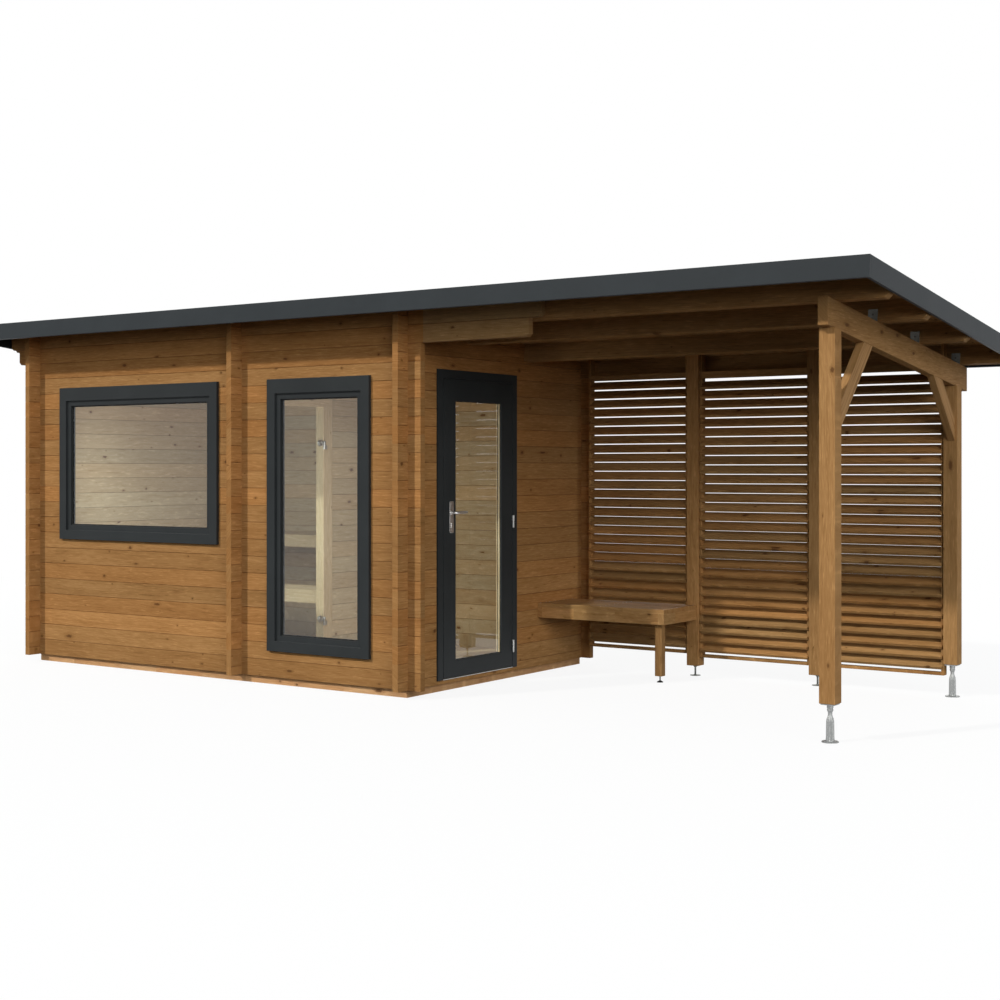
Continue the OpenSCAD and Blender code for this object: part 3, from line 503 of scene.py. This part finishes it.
def leaf_inside(t, x, y, z):
    """The leaf's inner face and the reveal behind the glass, not its outer edges."""
    lo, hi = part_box("door_leaf")
    behind = t.math("LESS_THAN", x, 0.0045 + OX)
    rim = 0.002
    return t.mul(behind, t.mul(t.between(y, lo.y + rim, hi.y - rim), t.between(z, lo.z + rim, hi.z - rim)))


LEAF_PAINT = coated("leaf_paint", ANTHRACITE, bare=leaf_inside)
PAINT_X = coated("anthracite_painted_wood", ANTHRACITE, grain=0)
FASCIA = coated("anthracite_fascia", rgb(0.024, 0.029, 0.033), rough=0.5)
PANE = glass("window_glass", rgb(0.93, 0.95, 0.94))
STEEL = metal("satin_steel", rgb(0.56, 0.55, 0.54), 0.34, brushed=2)
ALUMINIUM = metal("threshold_metal", rgb(0.50, 0.50, 0.49), 0.36, brushed=1)
ZINC = metal("zinc_steel", rgb(0.19, 0.195, 0.18), 0.55, spangle=0.12)
GALVANISED = metal("galvanised_steel", rgb(0.32, 0.33, 0.33), 0.52, spangle=0.08)
ENAMEL = coated("white_enamel", rgb(0.86, 0.86, 0.84), rough=0.35, spec=0.4, dust=0.05)
# dark steel of the bracket bolts: painted shade of the holes they sit in
HOLE_SHADE_STEEL = metal("dark_bolt_steel", rgb(0.10, 0.09, 0.08), 0.6)
RUBBER = rubber("glazing_rubber")
FELT = felt("roof_felt")


def screen_wood(name, x0, x1, lift, seed):
    """Wood of a screen from x0 to x1 that hangs higher by lift, with upright grain in its stiles."""
    def stiles(t, x, y, z):
        return [(t.add(t.math("LESS_THAN", x, x0 + STILE), t.math("GREATER_THAN", x, x1 - STILE)), 2, 0)]
    return wood(name, 0, 1, [(2, 0.1669 + lift, SCREEN_PITCH)], stain=OLIVE, seed=seed, knots=0.25, tone=0.13,
                cross=stiles, spec=0.0)


DRESS = {
    "foundation": BEARER_WOOD, "floor": FLOOR_WOOD, "door_sill": SILL,
    "front_wall": LOGS_X, "rear_wall": LOGS_X,
    "left_wall": LOGS_Y, "partition_front": LOGS_Y, "partition_rear": LOGS_Y, "partition_top": LOGS_Y,
    "door_wall_front": LOGS_Y, "door_wall_rear": LOGS_Y, "door_wall_top": LOGS_Y,
    "wide_window_frame": PAINT_X, "tall_window_frame": PAINT_X, "door_frame": PAINT, "door_leaf": LEAF_PAINT,
    "wide_window_glass": PANE, "tall_window_glass": PANE, "door_glass": PANE, "sauna_door_glass": PANE,
    "door_threshold": ALUMINIUM, "door_lock": STEEL, "door_lever": STEEL, "door_hinges": ENAMEL,
    "frame_hinges": ENAMEL, "sauna_door_frame": SAUNA_FRAME_WOOD, "sauna_door_fittings": STEEL,
    "sauna_frame_hinges": STEEL, "sauna_benches": SAUNA_WOOD,
    "purlins": PURLIN_WOOD, "roof_boards": ROOF_WOOD, "roof_felt": FELT,
    "eave_fascias": FASCIA, "side_fascias": FASCIA, "terrace_beam": BEAM_WOOD, "knee_braces": BRACE_WOOD,
    "purlin_brackets": ZINC, "front_post": POST_WOOD, "rear_posts": POST_WOOD, "post_feet": ZINC,
    "bench_top": BENCH_WOOD, "bench_frame": BENCH_FRAME_WOOD,
    "screen_left": screen_wood("screen_wood_left", 0.125 + OX, 0.927 + OX, 0.020, 5.7),
    "screen_middle": screen_wood("screen_wood_middle", 1.017 + OX, 1.829 + OX, 0.0, 6.2),
    "screen_right": screen_wood("screen_wood_right", 1.919 + OX, 2.731 + OX, 0.0, 6.8),
}
for name, obj in NODES.items():
    mat = DRESS[name]
    if not obj.material_slots:
        obj.data.materials.append(mat)
    for s in obj.material_slots:
        s.link = "OBJECT"
        s.material = mat


# ---- eased edges of the timber, frames and boards ----

EASED = {                              # nodes by the width of their bevel
    0.0030: ("front_post", "rear_posts", "terrace_beam", "purlins", "bench_top"),
    0.0020: ("knee_braces", "bench_frame", "wide_window_frame", "tall_window_frame", "door_leaf",
             "sauna_benches", "sauna_door_frame", "screen_left", "screen_middle", "screen_right"),
    0.0015: ("door_frame", "eave_fascias", "side_fascias"),
}
for width, names in EASED.items():
    for name in names:
        weld = NODES[name].modifiers.new("weld", "WELD")
        weld.merge_threshold = 0.00005
        ease = NODES[name].modifiers.new("ease", "BEVEL")
        ease.width, ease.segments, ease.limit_method, ease.angle_limit = width, 2, "ANGLE", math.radians(50)


# ---- pieces ----

def piece(name, bm, mat, body, smooth=False, bevel=0.0, stands_for=()):
    """Makes an object of the mesh, which rides a body and stands for the named CAD nodes."""
    mesh = bpy.data.meshes.new(name)
    bmesh.ops.recalc_face_normals(bm, faces=bm.faces)
    bm.to_mesh(mesh)
    bm.free()
    o = bpy.data.objects.new(name, mesh)
    bpy.context.scene.collection.objects.link(o)
    mesh.materials.append(mat)
    if smooth:
        for f in mesh.polygons:
            f.use_smooth = True
    if bevel:
        b = o.modifiers.new("eased", "BEVEL")
        b.width, b.segments, b.limit_method, b.angle_limit = bevel, 2, "ANGLE", math.radians(40)
        b.harden_normals = False
    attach(o, body)
    if stands_for:
        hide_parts(*stands_for)
    return o


def box(bm, lo, hi):
    verts = bmesh.ops.create_cube(bm, size=1.0)["verts"]
    for v in verts:
        v.co = Vector([(c + 0.5) * (b - a) + a for c, a, b in zip(v.co, Vector(lo), Vector(hi))])
    return verts


def both_ends(x, d):
    """The ends of a stretch of length d from x, the lower one first."""
    return min(x, x + d), max(x, x + d)


def angles(seg):
    return [2 * math.pi * i / seg for i in range(seg)]


def skin(bm, rings):
    """Faces between rings that have as many points each."""
    seg = len(rings[0])
    for a, b in zip(rings, rings[1:]):
        for i in range(seg):
            bm.faces.new((a[i], a[(i + 1) % seg], b[(i + 1) % seg], b[i]))


def lathe(bm, profile, m, seg=32):
    """Profile of (radius, height) turned about the local Z axis."""
    rings = []
    for r, h in profile:
        rings.append([bm.verts.new(m @ Vector((r * math.cos(a), r * math.sin(a), h))) for a in angles(seg)])
    skin(bm, rings)
    for ring in (rings[0], rings[-1]):
        if (ring[0].co - ring[seg // 2].co).length > 1e-5:
            bm.faces.new(ring)


def at(x, y, z, turn=None):
    m = Matrix.Translation((x, y, z))
    return m @ turn if turn is not None else m


TO_X = Matrix.Rotation(math.pi / 2, 4, "Y")
FROM_X = Matrix.Rotation(-math.pi / 2, 4, "Y")
SIDES = ((LEAF_X1, TO_X, 1), (LEAF_X0, FROM_X, -1))      # the leaf's outer face and its inner one
ON_ROOF = Matrix.Translation((0, OY, ROOF_Z)) @ Matrix.Rotation(-PITCH, 4, "X")


def on_roof(v):
    return ON_ROOF @ Vector(v)


# Roof boards, side by side down the slope, each with its lower edges cut back
bm = bmesh.new()
S0 = -FRONT_EAVE / math.cos(PITCH) + FASCIA_GAP
S1 = (DEPTH + REAR_EAVE) / math.cos(PITCH) - FASCIA_GAP
X0, X1 = RX0 + FASCIA_GAP, RX1 - FASCIA_GAP
count = round((X1 - X0) / ROOF_BOARD)
width = (X1 - X0) / count
cut, top = 0.0022, ROOF_BOARD_T
for i in range(count):
    a, b = X0 + i * width, X0 + (i + 1) * width
    section = [(a, top), (b, top), (b, cut), (b - cut, 0), (a + cut, 0), (a, cut)]
    near = [bm.verts.new(on_roof((x, S0, n))) for x, n in section]
    far = [bm.verts.new(on_roof((x, S1, n))) for x, n in section]
    bm.faces.new(near)
    bm.faces.new(far[::-1])
    for k in range(6):
        bm.faces.new((near[k], far[k], far[(k + 1) % 6], near[(k + 1) % 6]))
piece("underroof_boards", bm, ROOF_WOOD, CABIN, stands_for=("roof_boards",))

# Laps of the roofing felt
bm = bmesh.new()
for s in (0.50, 1.36):
    for v in box(bm, (X0 + 0.002, s, 0.0240), (X1 - 0.002, s + 0.10, 0.0262)):
        v.co = on_roof(v.co)
piece("felt_laps", bm, FELT, CABIN, bevel=0.0008)


def glazing(name, body, axis, a0, a1, z0, z1, faces, g=0.0075):
    """Rubber, g wide, round a pane from a0 to a1 and z0 to z1, on each of its faces (place, way out)."""
    bm = bmesh.new()
    for f, out in faces:
        lo, hi = both_ends(f, 0.0035 * out)
        for p, q, low, high in ((a0, a1, z0, z0 + g), (a0, a1, z1 - g, z1),
                                (a0, a0 + g, z0 + g, z1 - g), (a1 - g, a1, z0 + g, z1 - g)):
            if axis == "x":
                box(bm, (p, lo, low), (q, hi, high))
            else:
                box(bm, (lo, p, low), (hi, q, high))
    piece(name, bm, RUBBER, body, bevel=0.0008)


for node, name in (("wide_window_glass", "wide_window_rubber"), ("tall_window_glass", "tall_window_rubber")):
    lo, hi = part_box(node)
    glazing(name, CABIN, "x", lo.x, hi.x, lo.z, hi.z, ((lo.y, -1), (hi.y, 1)))
lo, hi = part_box("door_glass")
glazing("door_rubber", DOOR, "y", lo.y, hi.y, lo.z, hi.z, ((lo.x, -1), (hi.x, 1)), 0.0030)

# Seal in the gap over the leaf
bm = bmesh.new()
lo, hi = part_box("door_leaf")
box(bm, (OX, lo.y - 0.0045, hi.z + 0.0014), (OX + 0.0115, hi.y + 0.0045, hi.z + 0.0049))
piece("door_head_seal", bm, PAINT, CABIN, bevel=0.0006)


def screw(bm, x, y, z, turn, r=0.004, h=0.0012):
    """Screw head with a recess."""
    lathe(bm, [(r, 0), (r, h * 0.5), (r * 0.75, h), (r * 0.35, h), (r * 0.3, h * 0.3), (0.00001, h * 0.3)],
          at(x, y, z, turn), 12)


def lever(bm, m):
    """Lever handle: a neck, a swept grip and a rounded end."""
    path = [(0, 0, 0.0), (0, 0, 0.022), (0, 0.0015, 0.030), (0, 0.006, 0.0350), (0, 0.013, 0.0375),
            (0, 0.030, 0.0385), (0, 0.070, 0.0380), (0, 0.110, 0.0365), (0, 0.128, 0.0345), (0, 0.1335, 0.0325)]
    sizes = [(0.0088, 0.0088), (0.0080, 0.0080), (0.0084, 0.0080), (0.0088, 0.0078), (0.0090, 0.0074),
             (0.0092, 0.0068), (0.0094, 0.0060), (0.0092, 0.0056), (0.0080, 0.0048), (0.0035, 0.0022)]
    side, rings = Vector((1, 0, 0)), []
    for k, (p, (a, b)) in enumerate(zip(path, sizes)):
        ahead = Vector(path[min(k + 1, len(path) - 1)]) - Vector(path[max(k - 1, 0)])
        up = ahead.normalized().cross(side).normalized()
        rings.append([bm.verts.new(m @ (Vector(p) + side * a * math.cos(h) + up * b * math.sin(h)))
                      for h in angles(24)])
    skin(bm, rings)
    bm.faces.new(rings[0])
    bm.faces.new(rings[-1])


bm = bmesh.new()
outer = Matrix(((0, 0, 1, LEAF_X1), (0, 1, 0, LEVER.y), (-1, 0, 0, LEVER.z), (0, 0, 0, 1)))
inner = Matrix(((0, 0, -1, LEAF_X0), (0, 1, 0, LEVER.y), (1, 0, 0, LEVER.z), (0, 0, 0, 1)))
for m in (outer, inner):
    lever(bm, m)
piece("lever_handles", bm, STEEL, HANDLE, smooth=True, stands_for=("door_lever",))

# Lock plates with rounded corners
PLATE_W, PLATE_H = 0.044, 0.204
w, h, corner = PLATE_W / 2, PLATE_H / 2, 0.010
middle_z = LEVER.z - 0.64 * PLATE_H + h
outline = []
for cy, cz, start in ((w - corner, h - corner, 0), (-(w - corner), h - corner, 90),
                      (-(w - corner), -(h - corner), 180), (w - corner, -(h - corner), 270)):
    for k in range(7):
        a = math.radians(start + 15 * k)
        outline.append((cy + corner * math.cos(a), cz + corner * math.sin(a)))
bm = bmesh.new()
for face, _, out in SIDES:
    rings = []
    for x, inset in ((0.0, 0.0), (0.0022, 0.0), (0.0030, 0.0012)):
        rings.append([bm.verts.new((face + out * x, LEVER.y + py * (1 - inset / w),
                                    middle_z + pz * (1 - inset / h))) for py, pz in outline])
    skin(bm, rings)
    bm.faces.new(rings[-1])
    bm.faces.new(rings[0])
piece("lock_plates", bm, STEEL, DOOR, stands_for=("door_lock",))

# Collar under the lever, cylinder and screws on each plate
CYLINDER_Z = LEVER.z - 0.072
bm = bmesh.new()
for face, turn, out in SIDES:
    x = face + 0.003 * out
    lathe(bm, [(0.0135, 0), (0.0135, 0.002), (0.0120, 0.0032), (0.0100, 0.0032)],
          at(x, LEVER.y, LEVER.z, turn), 32)
    lathe(bm, [(0.0090, 0), (0.0090, 0.0030), (0.0082, 0.0040), (0.00001, 0.0040)],
          at(x, LEVER.y, CYLINDER_Z, turn), 32)
    lo, hi = both_ends(x, 0.0040 * out)
    box(bm, (lo, LEVER.y - 0.0052, CYLINDER_Z - 0.026), (hi, LEVER.y + 0.0052, CYLINDER_Z))
    for dz in (0.058, -0.112):
        screw(bm, x, LEVER.y, LEVER.z + dz, turn, 0.0042)
piece("lock_details", bm, STEEL, DOOR)
# Black sheets on the cylinders: painted shade where the keyholes are
bm = bmesh.new()
for face, _, out in SIDES:
    lo, hi = both_ends(face + 0.0071 * out, 0.0003 * out)
    box(bm, (lo, LEVER.y - 0.0009, LEVER.z - 0.0760), (hi, LEVER.y + 0.0009, LEVER.z - 0.0680))
piece("keyhole_shade", bm, RUBBER, DOOR)

# Sauna door: round clamps on both faces of the glass, their knuckles, and a turned handle
FACE_X, GLASS_T = -1.398 + OX, 0.008
GLASS_FACES = ((FACE_X, TO_X), (FACE_X - GLASS_T, FROM_X))
bm = bmesh.new()
y = 0.822 + OY
for z in (0.313, 1.573):
    for x, turn in GLASS_FACES:
        lathe(bm, [(0.0240, 0), (0.0240, 0.0030), (0.0225, 0.0048), (0.0090, 0.0055), (0.0086, 0.0042),
                   (0.00001, 0.0042)], at(x, y - 0.026, z + 0.045, turn), 40)
    box(bm, (FACE_X, y - 0.010, z + 0.0315), (FACE_X + 0.005, y + 0.0025, z + 0.0585))
    lathe(bm, [(0.0078, 0), (0.0088, 0.0012), (0.0088, 0.0270), (0.0070, 0.0294), (0.00001, 0.0294)],
          at(FACE_X + 0.011, y + 0.0025, z + 0.0303), 32)
for x, turn in GLASS_FACES:
    lathe(bm, [(0.0140, 0), (0.0140, 0.0030), (0.0105, 0.0060), (0.0110, 0.0120), (0.0170, 0.0200),
               (0.0198, 0.0280), (0.0190, 0.0340), (0.0150, 0.0375), (0.00001, 0.0380)],
          at(x, 0.192 + OY, 0.973, turn), 40)
piece("sauna_door_furniture", bm, STEEL, SAUNA_DOOR, smooth=True,
      stands_for=("sauna_door_fittings",))

# Hinges of the entrance door: the upper knuckles turn with the leaf and the lower ones stay on the frame
KNUCKLE_H = 0.0417
HINGE = Vector((0.023 + OX, 1.1525 + OY, 0))
for body, node, name, z0, y0, y1, aside in ((DOOR, "door_hinges", "leaf", 0.0423, 1.1410, 1.1525, -0.002),
                                            (CABIN, "frame_hinges", "frame", 0.0, 1.1525, 1.1640, 0.002)):
    barrel, plate, heads = bmesh.new(), bmesh.new(), bmesh.new()
    for z in (0.181, 1.032):
        lathe(barrel, [(0.0035, 0), (0.0050, 0.0007), (0.0056, 0.0020), (0.0056, 0.0395), (0.0050, 0.0410),
                       (0.0035, KNUCKLE_H)], at(HINGE.x, HINGE.y, z + z0), 32)
        box(plate, (LEAF_X1, y0 + OY, z + z0), (LEAF_X1 + 0.0028, y1 + OY, z + z0 + KNUCKLE_H))
        for k in (0.010, 0.032):
            screw(heads, LEAF_X1 + 0.0028, (y0 + y1) / 2 + OY + aside, z + z0 + k, TO_X, 0.0026, 0.0008)
    piece(name + "_hinge_barrels", barrel, ENAMEL, body, smooth=True, stands_for=(node,))
    piece(name + "_hinge_plates", plate, PAINT, body, bevel=0.0008)
    piece(name + "_hinge_screws", heads, STEEL, body)

# Bolts in both legs of the brackets on the beam, dark as painted shade of the holes they sit in
PURLIN_S = (0.650, 1.336, 2.0934)
bm = bmesh.new()
for s in PURLIN_S:
    for m in (ON_ROOF @ at(BEAM_X, s - 0.003, -0.120 + 0.040, Matrix.Rotation(math.pi / 2, 4, "X")),
              ON_ROOF @ at(BEAM_X, s - 0.038, -0.117)):
        lathe(bm, [(0.0062, 0), (0.0058, 0.0010), (0.0045, 0.0022), (0.0030, 0.0022), (0.0028, 0.0008),
                   (0.00001, 0.0008)], m, 6)
piece("bracket_bolts", bm, HOLE_SHADE_STEEL, CABIN)

# Screws of the bench's boards, over both end aprons and in the middle
BENCH_BOARDS, BENCH_GAP = 4, 0.003
bm = bmesh.new()
lo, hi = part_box("bench_top")
for i in range(BENCH_BOARDS):
    y = lo.y + (i + 0.5) * (hi.y - lo.y + BENCH_GAP) / BENCH_BOARDS - BENCH_GAP / 2
    for x in (lo.x + 0.012, (lo.x + hi.x) / 2, hi.x - 0.012):
        for dy in (-0.036, 0.036):
            screw(bm, x, y + dy, hi.z - 0.0002, None, 0.0038, 0.0008)
piece("bench_screws", bm, STEEL, CABIN)


def thread(r, h0, h1, pitch):
    """Profile of a threaded rod from height h0 to h1."""
    out, h = [], h0
    while h + pitch <= h1:
        out += [(r, h), (r, h + pitch * 0.15), (r * 0.86, h + pitch * 0.5), (r, h + pitch * 0.85)]
        h += pitch
    return out + [(r, h1)]


# Short feet: a threaded rod on a round base, under a flared head
bm = bmesh.new()
for x in SHORT_POST_X:
    lathe(bm, [(0.037, 0), (0.037, 0.0022), (0.0355, 0.0036), (0.0110, 0.0046), (0.0090, 0.0080),
               (0.0066, 0.0090)] + thread(0.0066, 0.0095, 0.0560, 0.0025)
          + [(0.0080, 0.0575), (0.0170, 0.0695), (0.0170, 0.0710)], at(x, REAR_POST_Y, 0), 32)
piece("short_post_feet", bm, ZINC, CABIN, stands_for=("post_feet",))

# Long feet: a ribbed body with a waist under a collar, on a round base and under a square head plate
RIBS, RIB_DEPTH, HEAD = 12, 0.0016, 0.038
LONG_FOOT = ((0.045, 0, 0), (0.045, 0.0045, 0), (0.0435, 0.0060, 0), (0.0230, 0.0068, 0), (0.0215, 0.0140, 1),
             (0.0205, 0.0300, 1), (0.0200, 0.0800, 1), (0.0195, 0.1100, 1), (0.0175, 0.1230, 0.7),
             (0.0125, 0.1370, 0.3), (0.0112, 0.1460, 0), (0.0116, 0.1560, 0), (0.0150, 0.1640, 0),
             (0.0168, 0.1690, 0), (0.0168, 0.1720, 0), (0.0150, 0.1745, 0), (0.0150, 0.1790, 0),
             (0.0172, 0.1810, 0), (0.0172, 0.1985, 0))      # radius, height and how far the ribs stand out
bm = bmesh.new()
for y in (FRONT_POST_Y, REAR_POST_Y):
    m = at(BEAM_X, y, 0)
    rings = []
    for radius, h, rib in LONG_FOOT:
        ring = []
        for a in angles(96):
            r = radius + RIB_DEPTH * rib * math.cos(RIBS * a)
            ring.append(bm.verts.new(m @ Vector((r * math.cos(a), r * math.sin(a), h))))
        rings.append(ring)
    skin(bm, rings)
    bm.faces.new(rings[0])
    bm.faces.new(rings[-1])
    box(bm, (BEAM_X - HEAD, y - HEAD, 0.198), (BEAM_X + HEAD, y + HEAD, 0.204))
piece("long_post_feet", bm, GALVANISED, CABIN)

# Foot of the bench's leg: a thin rod on a dark cone
bm = bmesh.new()
lathe(bm, [(0.0050, 0.0110)] + thread(0.0048, 0.0112, 0.0420, 0.0020), at(*BENCH_LEG, 0), 24)
piece("bench_foot_rod", bm, ZINC, CABIN)
bm = bmesh.new()
lathe(bm, [(0.0215, 0), (0.0220, 0.0012), (0.0215, 0.0030), (0.0175, 0.0058), (0.0100, 0.0105),
           (0.0065, 0.0120)], at(*BENCH_LEG, 0), 40)
piece("bench_foot_cone", bm, RUBBER, CABIN, smooth=True)


# ---- floor, light and camera ----

def floor_material():
    """White for the camera, fading into the backdrop, and dark for the light that it would send back up."""
    t = Tree("studio_floor")
    x, y, _ = t.place()
    both = t.node("ShaderNodeAddShader")
    t.put(both.inputs[0], t.preset("BsdfDiffuse", Color=rgb(0.10, 0.10, 0.10)))      # takes the shadows
    t.put(both.inputs[1], t.preset("Emission", Strength=0.90))
    away = t.smooth(t.length(t.mul(x, 0.75), y), 4.0, 9.0)
    shown = t.blend(away, both.outputs[0], t.preset("Emission", Strength=1.0))
    seen = t.blend(t.looked(), t.preset("BsdfDiffuse", Color=rgb(0.05, 0.05, 0.05)), shown)
    below = t.node("ShaderNodeNewGeometry").outputs["Backfacing"]
    return t.out(t.blend(below, seen, t.preset("BsdfTransparent")))


bpy.ops.mesh.primitive_circle_add(vertices=64, radius=60.0, fill_type="NGON", location=(0, 1, -0.0005))
ground = bpy.context.object
ground.name = "studio_floor"
ground.data.materials.append(floor_material())

world = bpy.data.worlds.new("studio")
bpy.context.scene.world = world
t = Tree(owner=world)
rise = t.smooth(t.place("Generated")[2], 0.0, 1.0, 0.24, 0.62, "LINEAR")     # dimmer towards the horizon
t.out(t.blend(t.looked(), t.preset("Background", Color=rgb(0.86, 0.95, 1.0), Strength=rise),
              t.preset("Background", Color=rgb(1, 1, 1), Strength=1.0)), "ShaderNodeOutputWorld")


def sun(name, strength, angle, colour, towards):
    """A parallel light that comes from the direction towards."""
    lamp = bpy.data.lights.new(name, "SUN")
    lamp.energy, lamp.angle, lamp.color = strength, math.radians(angle), colour
    o = bpy.data.objects.new(name, lamp)
    o.rotation_euler = Vector(towards).to_track_quat("Z", "Y").to_euler()
    bpy.context.scene.collection.objects.link(o)


sun("key", 2.00, 2.5, (1.0, 0.965, 0.91), (-0.55, -1.0, 0.80))
sun("fill", 1.55, 42.0, (1.0, 0.985, 0.95), (0.80, -0.60, 0.27))
sun("back", 0.60, 50.0, (1.0, 0.975, 0.93), (-0.35, 1.0, 0.50))


def room_light(name, strength, place, size):
    """Soft light from a window into the room behind it."""
    lamp = bpy.data.lights.new(name, "AREA")
    lamp.energy, lamp.shape, lamp.size, lamp.size_y = strength, "RECTANGLE", size[0], size[1]
    lamp.color = (1.0, 0.97, 0.92)
    o = bpy.data.objects.new(name, lamp)
    o.location = place
    o.rotation_euler = (math.radians(90), 0, 0)
    o.visible_camera = False
    bpy.context.scene.collection.objects.link(o)


room_light("sauna_room_light", 8.0, (-2.50 + OX, 0.10 + OY, 1.45), (1.30, 0.85))
room_light("changing_room_light", 8.0, (-0.73 + OX, 0.10 + OY, 1.15), (0.62, 1.50))

# The photo's camera, as calibrated
cam = bpy.data.cameras.new("camera")
cam.sensor_width = 36.0
cam.lens = 56.27
cam.shift_y = -0.0317
cam.clip_start, cam.clip_end = 0.1, 200.0
camera = bpy.data.objects.new("camera", cam)
camera.location = (6.0134, -7.7856, 1.437)
camera.rotation_euler = (math.radians(90), 0, math.radians(34.245))
bpy.context.scene.collection.objects.link(camera)
bpy.context.scene.camera = camera
bpy.context.scene.view_settings.view_transform = "Standard"
